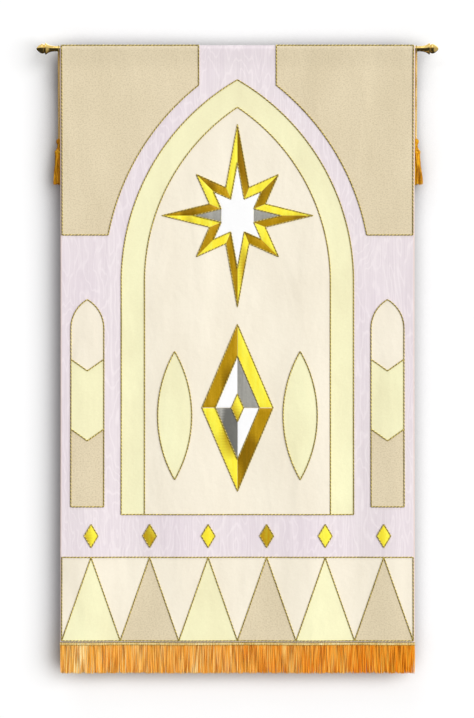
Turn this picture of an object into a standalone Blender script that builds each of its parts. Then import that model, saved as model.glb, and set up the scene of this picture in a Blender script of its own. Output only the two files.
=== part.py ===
# Church banner: a moire cloth on a brass rod, with a fringe and two hanging tassels.
# Sizes are in metres. X runs along the rod, the front faces -Y and +Z is up.
# The origin is on the rod's axis, halfway along the rod.

import math

import bmesh
import bpy
from mathutils import Vector

# Clearance between pieces that touch
GAP = 0.0003

# Rod and finials
ROD_RADIUS = 0.0070
ROD_LENGTH = 0.9400
ROD_SIDES = 28
ROD_BEVEL = 0.0006
FINIAL_SIDES = 20

# Cloth: its width, the drop from the rod's axis to its lower edge, and its hems
CLOTH_WIDTH = 0.9144
CLOTH_DROP = 1.5286
CLOTH_THICKNESS = 0.0022
POCKET_SEAM = 0.0450
FLAP_END = 0.0530
SIDE_HEM = 0.0200
BOTTOM_HEM = 0.0280
HEM_RISE = 0.0010
HEM_SLOPE = 0.0015
NARROWING = 0.0030
PANEL_COLUMNS = 26
PANEL_ROWS = 11
POCKET_FLAT_STEPS = 3
POCKET_ARC_STEPS = 11

# Fringe under the lower hem
FRINGE_DROP = 0.0820
FRINGE_LOCKS = 176
FRINGE_SLIT = 0.0014
HEADING_HEIGHT = 0.0080
HEADING_FRONT = -0.0027
HEADING_BACK = 0.0004
LOCK_TAPER = 0.86

# Tassels, their cords and the loops that carry them, at each side edge of the cloth
TASSEL_ACROSS = 0.4607
TASSEL_BEHIND = 0.0225
TASSEL_TOP = 0.2300
TASSEL_SIDES = 28
CORD_RADIUS = 0.0034
CORD_VALLEY = 0.76
CORD_LAY = 0.0210
CORD_STEP = 0.0031
CORD_SECTION_POINTS = 9
LOOP_RADIUS = 0.0009
LOOP_SIDES = 6
LOOP_STEPS = 24
BINDING_RADIUS = 0.0041
BINDING_BEHIND = 0.0117
BINDING_TOP = 0.0035
BINDING_BOTTOM = -0.0070

# Soft folds of the hanging cloth: place across, half width, height, start below the rod.
# A height under zero stands out to the front.
FOLDS = (
    (-0.392, 0.046, -0.0030, 0.42),
    (-0.268, 0.060, 0.0038, 0.22),
    (-0.128, 0.066, -0.0026, 0.30),
    (0.022, 0.085, 0.0024, 0.46),
    (0.176, 0.058, -0.0036, 0.24),
    (0.300, 0.052, 0.0032, 0.36),
    (0.404, 0.040, -0.0024, 0.52),
)
FOLD_GROWTH = 0.75

# Finial's turned outline: distance from the rod's end, radius
FINIAL_OUTLINE = (
    (0.0000, 0.0070),
    (0.0050, 0.0073),
    (0.0100, 0.0082),
    (0.0150, 0.0097),
    (0.0190, 0.0117),
    (0.0222, 0.0143),
    (0.0240, 0.0147),
    (0.0252, 0.0140),
    (0.0260, 0.0112),
    (0.0272, 0.0106),
    (0.0288, 0.0117),
    (0.0315, 0.0124),
    (0.0345, 0.0121),
    (0.0385, 0.0103),
    (0.0425, 0.0074),
    (0.0455, 0.0045),
    (0.0470, 0.0020),
)
FINIAL_TIP = 0.0474

# Tassel's turned outline above its skirt: distance below its top, radius
TASSEL_OUTLINE = (
    (0.0000, 0.0024),
    (0.0015, 0.0054),
    (0.0045, 0.0073),
    (0.0080, 0.0077),
    (0.0115, 0.0068),
    (0.0145, 0.0048),
    (0.0175, 0.0043),
    (0.0240, 0.0060),
    (0.0285, 0.0082),
    (0.0315, 0.0104),
    (0.0335, 0.0115),
    (0.0375, 0.0116),
    (0.0400, 0.0107),
)
SKIRT_ROOT = 0.0430
SKIRT_END = 0.1185
SKIRT_RINGS = (0.0108, 0.0078, 0.0064, 0.0034)

# Skirt's hang: share of its length, spread about the tassel's axis
SKIRT_SPREAD = (
    (0.62, 1.10),
    (1.00, 1.54),
)

# Route of a tassel cord: distance behind the rod's axis, distance below it
CORD_ROUTE = (
    (0.01170, 0.0073),
    (0.01175, 0.0130),
    (0.01190, 0.0220),
    (0.01225, 0.0350),
    (0.01280, 0.0500),
    (0.01355, 0.0660),
    (0.01450, 0.0830),
    (0.01560, 0.1010),
    (0.01680, 0.1190),
    (0.01800, 0.1370),
    (0.01915, 0.1540),
    (0.02020, 0.1710),
    (0.02110, 0.1880),
    (0.02185, 0.2040),
    (0.02230, 0.2180),
    (0.02250, 0.2297),
)


def clear_scene():
    """Remove the objects of the open scene."""
    for item in list(bpy.data.objects):
        bpy.data.objects.remove(item, do_unlink=True)


def finish(name, colour, roughness, metallic):
    """A plain material with one colour, roughness and metallic value."""
    material = bpy.data.materials.new(name)
    material.use_nodes = True
    shader = material.node_tree.nodes["Principled BSDF"]
    shader.inputs["Base Color"].default_value = (*colour, 1.0)
    shader.inputs["Roughness"].default_value = roughness
    shader.inputs["Metallic"].default_value = metallic
    material.diffuse_color = (*colour, 1.0)
    return material


def add_object(name, shape, material, sharp_angle=35.0):
    """Turn a finished bmesh into a named object with faces that point outward."""
    bmesh.ops.recalc_face_normals(shape, faces=shape.faces)
    mesh = bpy.data.meshes.new(name)
    shape.to_mesh(mesh)
    shape.free()
    mesh.materials.append(material)
    mesh.shade_smooth()
    mesh.set_sharp_from_angle(angle=math.radians(sharp_angle))
    item = bpy.data.objects.new(name, mesh)
    bpy.context.scene.collection.objects.link(item)
    return item


def ease(value, start, end):
    """Rise smoothly from 0 at start to 1 at end."""
    share = min(max((value - start) / (end - start), 0.0), 1.0)
    return share * share * (3.0 - 2.0 * share)


def ramp(value, start, end):
    """Rise in a straight line from 0 at start to 1 at end."""
    return min(max((value - start) / (end - start), 0.0), 1.0)


def fold_offset(across, down):
    """How far the hanging cloth stands behind its flat plane at a place."""
    offset = 0.0
    for centre, half_width, height, start in FOLDS:
        bump = math.exp(-((across - centre) / half_width) ** 2)
        offset += height * bump * ease(down, start, start + FOLD_GROWTH)
    return offset


def hem_rise(across, down):
    """Extra thickness on the back of the cloth at its turned hems and pocket flap."""
    half = CLOTH_WIDTH / 2
    side = ramp(abs(across), half - SIDE_HEM, half - SIDE_HEM + HEM_SLOPE)
    bottom = ramp(down, CLOTH_DROP - BOTTOM_HEM, CLOTH_DROP - BOTTOM_HEM + HEM_SLOPE)
    flap = 1.0 - ramp(down, FLAP_END, FLAP_END + HEM_SLOPE)
    return max(HEM_RISE * max(side, bottom), CLOTH_THICKNESS * flap)


def drawn_across(across, down):
    """Place across after the cloth has drawn in a little towards its middle height."""
    return across * (1.0 - NARROWING * math.sin(math.pi * down / CLOTH_DROP))


def cloth_columns():
    """Places across the cloth where its mesh has a line of points."""
    half = CLOTH_WIDTH / 2
    inner = half - SIDE_HEM
    panel = [inner * (2.0 * step / PANEL_COLUMNS - 1.0) for step in range(PANEL_COLUMNS + 1)]
    return [-half, -inner - HEM_SLOPE] + panel + [inner + HEM_SLOPE, half]


def cloth_rows():
    """Distances below the rod's axis, from the pocket's seam to the lower edge."""
    top = FLAP_END + HEM_SLOPE
    bottom = CLOTH_DROP - BOTTOM_HEM
    panel = [top + (bottom - top) * step / PANEL_ROWS for step in range(PANEL_ROWS + 1)]
    return [POCKET_SEAM, FLAP_END] + panel + [bottom + HEM_SLOPE, CLOTH_DROP]


def pocket_section():
    """Inner and outer line of the rod pocket as (y, z), from the seam up the front,
    over the rod and down the back to the seam again."""
    radius = ROD_RADIUS + GAP
    lean = math.asin(radius / POCKET_SEAM)
    seam = Vector((0.0, -POCKET_SEAM))
    front_normal = Vector((-math.cos(lean), -math.sin(lean)))
    back_normal = Vector((math.cos(lean), -math.sin(lean)))
    sweep = math.pi + 2.0 * lean

    inner = [seam]
    outer = [Vector((-CLOTH_THICKNESS, -POCKET_SEAM))]
    for step in range(1, POCKET_FLAT_STEPS):
        point = seam.lerp(front_normal * radius, step / POCKET_FLAT_STEPS)
        inner.append(point)
        outer.append(point + front_normal * CLOTH_THICKNESS)
    for step in range(POCKET_ARC_STEPS + 1):
        angle = math.pi + lean - sweep * step / POCKET_ARC_STEPS
        normal = Vector((math.cos(angle), math.sin(angle)))
        inner.append(normal * radius)
        outer.append(normal * (radius + CLOTH_THICKNESS))
    for step in range(POCKET_FLAT_STEPS - 1, 0, -1):
        point = seam.lerp(back_normal * radius, step / POCKET_FLAT_STEPS)
        inner.append(point)
        outer.append(point + back_normal * CLOTH_THICKNESS)
    outer.append(Vector((CLOTH_THICKNESS, -POCKET_SEAM)))
    return inner, outer


def cloth_column(shape, across, rows, inner_line, outer_line):
    """Points of one upright section of the cloth: its outside loop and its pocket loop."""
    outside = []
    for down in reversed(rows):
        place = (drawn_across(across, down), fold_offset(across, down) - CLOTH_THICKNESS, -down)
        outside.append(shape.verts.new(place))
    for point in outer_line[1:-1]:
        outside.append(shape.verts.new((drawn_across(across, -point.y), point.x, point.y)))
    for down in rows:
        behind = fold_offset(across, down) + hem_rise(across, down)
        outside.append(shape.verts.new((drawn_across(across, down), behind, -down)))
    pocket = []
    for point in inner_line:
        pocket.append(shape.verts.new((drawn_across(across, -point.y), point.x, point.y)))
    return outside, pocket


def join_loops(shape, first, second):
    """Faces between two closed loops that have the same number of points."""
    count = len(first)
    for index in range(count):
        after = (index + 1) % count
        shape.faces.new((first[index], first[after], second[after], second[index]))


def close_cloth_end(shape, outside, pocket, row_count):
    """Close the cloth's cut end around the pocket's mouth."""
    front_seam = row_count - 1
    back_seam = len(outside) - row_count
    shape.faces.new((
        outside[front_seam],
        outside[front_seam - 1],
        outside[back_seam + 1],
        outside[back_seam],
        pocket[0],
    ))
    for row in range(1, row_count - 1):
        shape.faces.new((
            outside[front_seam - row],
            outside[front_seam - row - 1],
            outside[back_seam + row + 1],
            outside[back_seam + row],
        ))
    count = len(pocket)
    for index in range(count):
        after = (index + 1) % count
        shape.faces.new((
            outside[front_seam + index],
            outside[front_seam + index + 1],
            pocket[after],
            pocket[index],
        ))


def banner_cloth():
    """The ground panel with its hems and the pocket that the rod runs through."""
    shape = bmesh.new()
    rows = cloth_rows()
    inner_line, outer_line = pocket_section()
    columns = []
    for across in cloth_columns():
        columns.append(cloth_column(shape, across, rows, inner_line, outer_line))
    for left, right in zip(columns, columns[1:]):
        join_loops(shape, left[0], right[0])
        join_loops(shape, left[1], right[1])
    for outside, pocket in (columns[0], columns[-1]):
        close_cloth_end(shape, outside, pocket, len(rows))
    material = finish("moire_cloth", (0.84, 0.78, 0.81), 0.55, 0.0)
    return add_object("banner_cloth", shape, material)


def fringe():
    """A narrow heading under the lower hem with a row of hanging locks."""
    shape = bmesh.new()
    pitch = CLOTH_WIDTH / FRINGE_LOCKS
    top = -CLOTH_DROP - GAP
    stations = []
    for lock in range(FRINGE_LOCKS):
        left = -CLOTH_WIDTH / 2 + lock * pitch + FRINGE_SLIT / 2
        for across in (left, left + pitch - FRINGE_SLIT):
            behind = fold_offset(across, CLOTH_DROP)
            stations.append((
                shape.verts.new((across, behind + HEADING_FRONT, top)),
                shape.verts.new((across, behind + HEADING_BACK, top)),
                shape.verts.new((across, behind + HEADING_BACK, top - HEADING_HEIGHT)),
                shape.verts.new((across, behind + HEADING_FRONT, top - HEADING_HEIGHT)),
            ))
    shape.faces.new(stations[0])
    shape.faces.new(stations[-1])
    roots = []
    for index, (left, right) in enumerate(zip(stations, stations[1:])):
        for corner in range(4):
            after = (corner + 1) % 4
            face = shape.faces.new((left[corner], left[after], right[after], right[corner]))
            if corner == 2 and index % 2 == 0:
                roots.append(face)
    ends = bmesh.ops.extrude_discrete_faces(shape, faces=roots)["faces"]
    for face in ends:
        hang_lock(face)
    material = finish("fringe_yarn", (0.88, 0.50, 0.14), 0.45, 0.0)
    return add_object("fringe", shape, material)


def hang_lock(face):
    """Draw one fringe lock down to its end, a little tapered and a little out of line."""
    centre = face.calc_center_median()
    drop = FRINGE_DROP - GAP - HEADING_HEIGHT
    drop += 0.0007 * math.sin(centre.x * 211.0) + 0.0005 * math.sin(centre.x * 877.0)
    drift = 0.0010 * math.sin(centre.x * 23.0) + 0.0002 * math.sin(centre.x * 1310.0)
    swing = 0.0012 * math.sin(centre.x * 37.0) + 0.0004 * math.sin(centre.x * 701.0)
    for vert in face.verts:
        vert.co.x = centre.x + (vert.co.x - centre.x) * LOCK_TAPER + drift
        vert.co.y = centre.y + (vert.co.y - centre.y) * LOCK_TAPER + swing
        vert.co.z -= drop


def ring(shape, centre, radius, height, count):
    """A level ring of points about an upright axis."""
    points = []
    for step in range(count):
        angle = math.tau * step / count
        place = (centre.x + radius * math.cos(angle), centre.y + radius * math.sin(angle), height)
        points.append(shape.verts.new(place))
    return points


def join_doubled(shape, coarse, fine):
    """Faces between a ring and one with twice as many points."""
    count = len(coarse)
    for index in range(count):
        after = (index + 1) % count
        shape.faces.new((
            coarse[index],
            coarse[after],
            fine[(2 * index + 2) % (2 * count)],
            fine[2 * index + 1],
            fine[2 * index],
        ))


def alternate_faces(shape, outer, inner):
    """Faces between two rings, returning every second one, which carries a strand."""
    roots = []
    count = len(outer)
    for index in range(count):
        after = (index + 1) % count
        face = shape.faces.new((outer[index], outer[after], inner[after], inner[index]))
        if index % 2 == 0:
            roots.append(face)
    return roots


def tassel(name, side):
    """Knot, flared neck and bound head in one turned body, with a skirt of strands."""
    shape = bmesh.new()
    axis = Vector((side * TASSEL_ACROSS, TASSEL_BEHIND, -TASSEL_TOP))
    rings = []
    for below, radius in TASSEL_OUTLINE:
        rings.append(ring(shape, axis, radius, axis.z - below, TASSEL_SIDES))
    shape.faces.new(rings[0])
    for upper, lower in zip(rings, rings[1:]):
        join_loops(shape, upper, lower)

    foot = axis.z - SKIRT_ROOT
    rim_radius, slot_radius, core_radius, heart_radius = SKIRT_RINGS
    rim = ring(shape, axis, rim_radius, foot, 2 * TASSEL_SIDES)
    slot = ring(shape, axis, slot_radius, foot, 2 * TASSEL_SIDES)
    core = ring(shape, axis, core_radius, foot, TASSEL_SIDES)
    heart = ring(shape, axis, heart_radius, foot, TASSEL_SIDES)
    join_doubled(shape, rings[-1], rim)
    join_doubled(shape, core, slot)
    roots = alternate_faces(shape, rim, slot) + alternate_faces(shape, core, heart)
    shape.faces.new(heart)
    hang_skirt(shape, roots, axis)
    material = finish(name + "_yarn", (0.72, 0.40, 0.04), 0.5, 0.0)
    return add_object(name, shape, material)


def hang_skirt(shape, roots, axis):
    """Draw the tassel's strands down in steps, spreading towards uneven ends."""
    length = SKIRT_END - SKIRT_ROOT
    reached = 0.0
    spread_before = 1.0
    faces = roots
    for share, spread in SKIRT_SPREAD:
        faces = bmesh.ops.extrude_discrete_faces(shape, faces=faces)["faces"]
        for face in faces:
            centre = face.calc_center_median()
            angle = math.atan2(centre.y - axis.y, centre.x - axis.x)
            uneven = 0.0
            if share == 1.0:
                uneven = 0.0016 * math.sin(5.0 * angle + 0.6) - 0.0012 * math.cos(9.0 * angle)
            flare = spread / spread_before + (spread - 1.0) * 0.16 * math.sin(3.0 * angle + 1.1)
            for vert in face.verts:
                vert.co.x = axis.x + (vert.co.x - axis.x) * flare
                vert.co.y = axis.y + (vert.co.y - axis.y) * flare
                vert.co.z -= length * (share - reached) - uneven
        reached = share
        spread_before = spread


def route_points():
    """Evenly spaced points of a smooth curve through the cord's route, as (y, z)."""
    knots = [Vector((behind, -down)) for behind, down in CORD_ROUTE]
    knots = [knots[0] * 2.0 - knots[1]] + knots + [knots[-1] * 2.0 - knots[-2]]
    fine = []
    for index in range(1, len(knots) - 2):
        before, start, end, after = knots[index - 1:index + 3]
        for step in range(12):
            share = step / 12
            fine.append(0.5 * (
                start * 2.0
                + (end - before) * share
                + (before * 2.0 - start * 5.0 + end * 4.0 - after) * share ** 2
                + (start * 3.0 - before - end * 3.0 + after) * share ** 3
            ))
    fine.append(knots[-2])
    lengths = [0.0]
    for start, end in zip(fine, fine[1:]):
        lengths.append(lengths[-1] + (end - start).length)
    count = round(lengths[-1] / CORD_STEP)
    points = []
    index = 0
    for step in range(count + 1):
        wanted = lengths[-1] * step / count
        while index < len(fine) - 2 and lengths[index + 1] < wanted:
            index += 1
        share = (wanted - lengths[index]) / (lengths[index + 1] - lengths[index])
        points.append(fine[index].lerp(fine[index + 1], share))
    return points


def tassel_cord(name, side):
    """A short cord of three strands laid in a rope twist."""
    shape = bmesh.new()
    points = route_points()
    sections = []
    turned = 0.0
    for index, point in enumerate(points):
        before = points[max(index - 1, 0)]
        after = points[min(index + 1, len(points) - 1)]
        along = (after - before).normalized()
        across = Vector((-along.y, along.x))
        if index:
            turned += math.tau * (point - points[index - 1]).length / CORD_LAY
        section = []
        for corner in range(CORD_SECTION_POINTS):
            angle = math.tau * corner / CORD_SECTION_POINTS + turned * side
            radius = CORD_RADIUS * (CORD_VALLEY if corner % 3 == 2 else 1.0)
            sideways = radius * math.cos(angle)
            place = point + across * (radius * math.sin(angle))
            section.append(shape.verts.new((side * TASSEL_ACROSS + sideways, place.x, place.y)))
        sections.append(section)
    for upper, lower in zip(sections, sections[1:]):
        join_loops(shape, upper, lower)
    shape.faces.new(sections[0])
    shape.faces.new(sections[-1])
    material = finish(name + "_twist", (0.55, 0.40, 0.12), 0.4, 0.3)
    return add_object(name, shape, material, sharp_angle=80.0)


def cord_loop(name, side):
    """A fine loop round the rod with a binding behind it that holds the cord's end."""
    shape = bmesh.new()
    middle = ROD_RADIUS + GAP + LOOP_RADIUS
    across = side * TASSEL_ACROSS
    sections = []
    for step in range(LOOP_STEPS):
        turn = math.tau * step / LOOP_STEPS
        section = []
        for corner in range(LOOP_SIDES):
            angle = math.tau * corner / LOOP_SIDES
            reach = middle + LOOP_RADIUS * math.cos(angle)
            place = (
                across + LOOP_RADIUS * math.sin(angle),
                reach * math.cos(turn),
                reach * math.sin(turn),
            )
            section.append(shape.verts.new(place))
        sections.append(section)
    for index in range(LOOP_STEPS):
        join_loops(shape, sections[index], sections[(index + 1) % LOOP_STEPS])
    material = finish(name + "_cord", (0.55, 0.40, 0.12), 0.4, 0.3)
    loop = add_object(name, shape, material)

    barrel = bmesh.new()
    axis = Vector((across, BINDING_BEHIND, 0.0))
    height = BINDING_TOP - BINDING_BOTTOM
    rings = []
    for share, swell in ((0.0, 0.80), (0.14, 1.0), (0.86, 1.0), (1.0, 0.80)):
        level = BINDING_TOP - height * share
        rings.append(ring(barrel, axis, BINDING_RADIUS * swell, level, 12))
    for upper, lower in zip(rings, rings[1:]):
        join_loops(barrel, upper, lower)
    barrel.faces.new(rings[0])
    barrel.faces.new(rings[-1])
    cutter = add_object(name + "_binding", barrel, material)
    cutter.hide_render = True
    cutter.display_type = "WIRE"
    union = loop.modifiers.new("binding", "BOOLEAN")
    union.operation = "UNION"
    union.object = cutter
    return loop


def rod():
    """The straight brass rod."""
    shape = bmesh.new()
    bmesh.ops.create_cone(
        shape,
        cap_ends=True,
        segments=ROD_SIDES,
        radius1=ROD_RADIUS,
        radius2=ROD_RADIUS,
        depth=ROD_LENGTH,
    )
    rims = [edge for edge in shape.edges if abs(edge.verts[0].co.z - edge.verts[1].co.z) < 1e-5]
    bmesh.ops.bevel(shape, geom=rims, offset=ROD_BEVEL, segments=1, affect="EDGES")
    item = add_object("rod", shape, finish("rod_brass", (0.72, 0.55, 0.20), 0.22, 1.0))
    item.rotation_euler = (0.0, math.pi / 2, 0.0)
    return item


def finial(name, side):
    """A turned end piece: a flared collar and an acorn."""
    shape = bmesh.new()
    axis = Vector((0.0, 0.0, 0.0))
    rings = [ring(shape, axis, radius, along, FINIAL_SIDES) for along, radius in FINIAL_OUTLINE]
    for lower, upper in zip(rings, rings[1:]):
        join_loops(shape, lower, upper)
    shape.faces.new(rings[0])
    tip = shape.verts.new((0.0, 0.0, FINIAL_TIP))
    for index in range(FINIAL_SIDES):
        shape.faces.new((rings[-1][index], rings[-1][(index + 1) % FINIAL_SIDES], tip))
    item = add_object(name, shape, finish(name + "_brass", (0.74, 0.56, 0.20), 0.2, 1.0))
    item.rotation_euler = (0.0, side * math.pi / 2, 0.0)
    item.location = (side * (ROD_LENGTH / 2 + GAP), 0.0, 0.0)
    return item


def main():
    clear_scene()
    rod()
    banner_cloth()
    fringe()
    for word, side in (("left", -1), ("right", 1)):
        finial("finial_" + word, side)
        cord_loop("cord_loop_" + word, side)
        tassel_cord("tassel_cord_" + word, side)
        tassel("tassel_" + word, side)


main()
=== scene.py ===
"""Looks of a hanging church banner, laid out as a Blender add-on.

Lengths are in metres. X runs along the rod, the front faces -Y and +Z is up. A place on
the cloth is given as its distance across from the middle line and its distance down
from the rod's axis, measured along the cloth's front.
"""

import math

import bmesh
import bpy
import numpy as np
from bpy.props import FloatProperty, FloatVectorProperty, IntProperty, PointerProperty
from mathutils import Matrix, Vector
from mathutils.geometry import delaunay_2d_cdt


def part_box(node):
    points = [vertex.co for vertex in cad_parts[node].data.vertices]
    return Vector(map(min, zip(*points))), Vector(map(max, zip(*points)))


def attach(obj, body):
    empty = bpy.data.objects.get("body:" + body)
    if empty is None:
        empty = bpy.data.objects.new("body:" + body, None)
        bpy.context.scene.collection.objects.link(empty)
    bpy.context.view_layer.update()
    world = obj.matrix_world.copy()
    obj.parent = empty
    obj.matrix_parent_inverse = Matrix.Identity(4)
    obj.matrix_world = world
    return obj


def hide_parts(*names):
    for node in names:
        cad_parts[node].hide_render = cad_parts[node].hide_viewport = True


bl_info = {
    "name": "Church Banner Looks",
    "version": (1, 0, 0),
    "blender": (4, 5, 0),
    "location": "View3D > Sidebar > Banner",
    "description": "Cloth, sewn patches, cords, fringe, tassels and brass of a hanging banner",
    "category": "Object",
}

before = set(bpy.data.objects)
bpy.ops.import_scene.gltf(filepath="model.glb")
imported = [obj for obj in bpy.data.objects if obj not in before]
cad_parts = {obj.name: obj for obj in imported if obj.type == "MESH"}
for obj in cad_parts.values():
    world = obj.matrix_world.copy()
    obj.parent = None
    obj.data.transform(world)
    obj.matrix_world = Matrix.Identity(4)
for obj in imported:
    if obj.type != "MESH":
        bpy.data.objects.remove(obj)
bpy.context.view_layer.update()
BODY = "root"

# Sizes read from the solids
ROD_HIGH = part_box("rod")[1]
CLOTH_LOW, CLOTH_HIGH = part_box("banner_cloth")
ROD_RADIUS = ROD_HIGH.z
ROD_END = ROD_HIGH.x
CLOTH_HALF = CLOTH_HIGH.x
CLOTH_DROP = -CLOTH_LOW.z
FRINGE_END = -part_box("fringe")[0].z
TASSEL_TOP = -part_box("tassel_right")[1].z

# Cloth, as the solids have it
GAP = 0.0003
CLOTH_THICKNESS = 0.0022
POCKET_SEAM = 0.0450
FLAP_END = 0.0530
SIDE_HEM = 0.0200
BOTTOM_HEM = 0.0280
HEM_RISE = 0.0010
HEM_SLOPE = 0.0015
NARROWING = 0.0030
SEAM_SOFTENING = 0.0140
POCKET_STEPS = 36
EDGE_ROUNDING = 0.0014
EDGE_SHARES = (0.0, 0.25, 0.6, 1.0)
EDGE_DIP = 0.42

# Soft folds: place across, half width, height, start below the rod.
# A height under zero stands out to the front.
FOLDS = (
    (-0.392, 0.046, -0.0030, 0.42),
    (-0.268, 0.060, 0.0038, 0.22),
    (-0.128, 0.066, -0.0026, 0.30),
    (0.022, 0.085, 0.0024, 0.46),
    (0.176, 0.058, -0.0036, 0.24),
    (0.300, 0.052, 0.0032, 0.36),
    (0.404, 0.040, -0.0024, 0.52),
)
FOLD_GROWTH = 0.75

# Tassels and the cords that carry them
TASSEL_ACROSS = 0.4607
TASSEL_BEHIND = 0.0225
CORD_RADIUS = 0.0034
CORD_VALLEY = 0.75
CORD_LAY = 0.0210
CORD_STEP = 0.0012
LOOP_RADIUS = 0.0009
LOOP_OPENING = 0.02
LOOP_TWIST = 260.0
BINDING_RADIUS = 0.0041
BINDING_BEHIND = 0.0117
BINDING_TOP = 0.0035
BINDING_BOTTOM = -0.0070

# Tassel's turned outline above its skirt: distance below its top, radius
TASSEL_OUTLINE = (
    (0.0000, 0.0024),
    (0.0015, 0.0054),
    (0.0045, 0.0073),
    (0.0080, 0.0077),
    (0.0115, 0.0068),
    (0.0145, 0.0048),
    (0.0175, 0.0043),
    (0.0240, 0.0060),
    (0.0285, 0.0082),
    (0.0315, 0.0104),
    (0.0335, 0.0115),
    (0.0375, 0.0116),
    (0.0400, 0.0107),
)
SKIRT_ROOT = 0.0410
SKIRT_END = 0.1185
SKIRT_SPREAD = 1.54

TURNED_SIDES = 64
ROD_BEVEL = 0.0006

# Finial's turned outline: distance from the rod's end, radius
FINIAL_OUTLINE = (
    (0.0000, 0.0070),
    (0.0050, 0.0073),
    (0.0100, 0.0082),
    (0.0150, 0.0097),
    (0.0190, 0.0117),
    (0.0222, 0.0143),
    (0.0240, 0.0147),
    (0.0252, 0.0140),
    (0.0260, 0.0112),
    (0.0272, 0.0106),
    (0.0288, 0.0117),
    (0.0315, 0.0124),
    (0.0345, 0.0121),
    (0.0385, 0.0103),
    (0.0425, 0.0074),
    (0.0455, 0.0045),
    (0.0470, 0.0020),
    (0.0474, 0.0004),
)

# Route of a tassel cord: distance behind the rod's axis, distance below it
CORD_ROUTE = (
    (0.01170, 0.0073),
    (0.01175, 0.0130),
    (0.01190, 0.0220),
    (0.01225, 0.0350),
    (0.01280, 0.0500),
    (0.01355, 0.0660),
    (0.01450, 0.0830),
    (0.01560, 0.1010),
    (0.01680, 0.1190),
    (0.01800, 0.1370),
    (0.01915, 0.1540),
    (0.02020, 0.1710),
    (0.02110, 0.1880),
    (0.02185, 0.2040),
    (0.02230, 0.2180),
    (0.02250, 0.2297),
)

# Sewn design: a pointed arch with a star and a pendant, side lights and a frieze
ARCH_HALF = 0.300
ARCH_SPRING = 0.600
ARCH_SILL = 1.200
BAND_WIDTH = 0.060
BORDER_INSET = 0.0045
PANEL_EDGE = CLOTH_HALF - BORDER_INSET
PANEL_TOP = -0.0085
PANEL_FOOT = CLOTH_DROP - 0.0035
BEND_FOOT = 0.0030
BEND_STEP = 0.0011
CORNER_FOOT = 0.480
CORNER_END = 0.100
CORNER_ARCH = 0.345
LIGHT_MIDDLE = 0.3875
LIGHT_HALF = 0.0425
LIGHT_SPRING = 0.720
LIGHT_SILL = 1.180
LIGHT_CHEVRONS = (0.800, 0.980)
CHEVRON_DROP = 0.030
STAR_MIDDLE = (0.0, 0.430)
STAR_REACHES = (0.195, 0.150, 0.235, 0.150, 0.195, 0.150, 0.235, 0.150)
STAR_INNER = 0.078
STAR_CORE = 0.58
PENDANT_MIDDLE = (0.0, 0.925)
PENDANT_HALVES = (0.092, 0.215)
PENDANT_CORE = 0.62
HEART_HALVES = (0.016, 0.036)
LEAF_ACROSS = 0.162
LEAF_DOWN = 0.945
LEAF_HALVES = (0.044, 0.165)
FRIEZE_TOP = 1.310
FRIEZE_COUNT = 6
DROP_DOWN = 1.255
DROP_HALVES = (0.018, 0.030)
OUTLINE_STEP = 0.0080
HAIRLINE = 0.0003
COUCHING_STEP = 0.0018
COUCHING_LAY = 0.0090

# Layers over the cloth's front: lower face, upper face, extra height in the middle
LAYER_BASE = (0.00005, 0.00055, 0.0)
LAYER_SECOND = (0.00060, 0.00110, 0.0)
LAYER_LAME = (0.00060, 0.00130, 0.00120)
LAYER_CORE = (0.00255, 0.00310, 0.00060)
LAYER_TOP = (0.00370, 0.00420, 0.00030)
PUFF_WIDTH = 0.0110
PUFF_INSETS = (0.0012, 0.0035, 0.0070, 0.0105)
COUCHING_VALLEY = 0.74

# Thread wound round a tassel: rows of (distance below its top, radius), its radius, pitch
TASSEL_WINDINGS = (
    (TASSEL_OUTLINE[1:6], 0.00068, 0.00130),
    (((0.0152, 0.0049), (0.0192, 0.0047)), 0.00055, 0.00105),
    (((0.0330, 0.0116), (0.0392, 0.0114)), 0.00095, 0.00180),
)
NECK_OUTLINE = TASSEL_OUTLINE[6:11]
NECK_STRANDS = 34
NECK_LEAN = 14.0
NECK_TWIST = 120.0
BINDING_WIRE = 0.0006
BINDING_PITCH = 0.00118

# Rings of skirt strands: radius at the root, number of strands
SKIRT_RINGS = ((0.0101, 44), (0.0083, 38), (0.0062, 30), (0.0040, 20), (0.0018, 10))
SKIRT_POINTS = 34
SKIRT_TWIST = 6.0
SKIRT_SEED = 11

# Fringe rows, from front to back: distance behind the plane of the cloth's back
FRINGE_ROWS = (-0.0024, -0.0009, 0.0005)
FRINGE_STEPS = 16
FRINGE_TWIST = 4.0
FRINGE_SEED = 5
TAPER_START = 0.965

# Woven heading of the fringe. Its section is given as distance behind the plane of the
# cloth's back, and height as a share of its half height.
HEADING_TOP = CLOTH_DROP + GAP
HEADING_HEIGHT = 0.0080
HEADING_STEP = 0.00075
HEADING_SECTION = (
    (-0.0036, 0.80), (-0.0040, 0.30), (-0.0040, -0.30), (-0.0036, -0.80),
    (-0.0010, -1.0), (0.0006, -0.85), (0.0006, 0.85), (-0.0010, 1.0),
)
HEADING_CORDS = (0.0012, 0.0066)
HEADING_CORD_RADIUS = 0.0011
HEADING_CORD_FRONT = 0.0042
HEADING_CORD_TWIST = 180.0
RIB_HEIGHT = 0.00030
RIB_PITCH = 0.0030
RIB_FRONT = -0.003

# Machine stitches on the back
STITCH_PITCH = 0.0030
STITCH_LENGTH = 0.0022
STITCH_INSET = 0.004
THREAD_RADIUS = 0.00028

# Stage
CAMERA_DISTANCE = 7.0
CAMERA_MIDDLE = (-0.0013, -0.7993)
FRAME_HEIGHT = 1.8496
SENSOR = 36.0
WALL_BEHIND = 0.062
WALL_HALF = 2.2
WALL_TOP = 1.6
WALL_COLOUR = (0.975, 0.975, 0.975)
FLOOR_LEVEL = -2.10
FLOOR_REACH = 8.0
FLOOR_COLOUR = (0.86, 0.86, 0.85)
FLOOR_GLOW = 0.12

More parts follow.
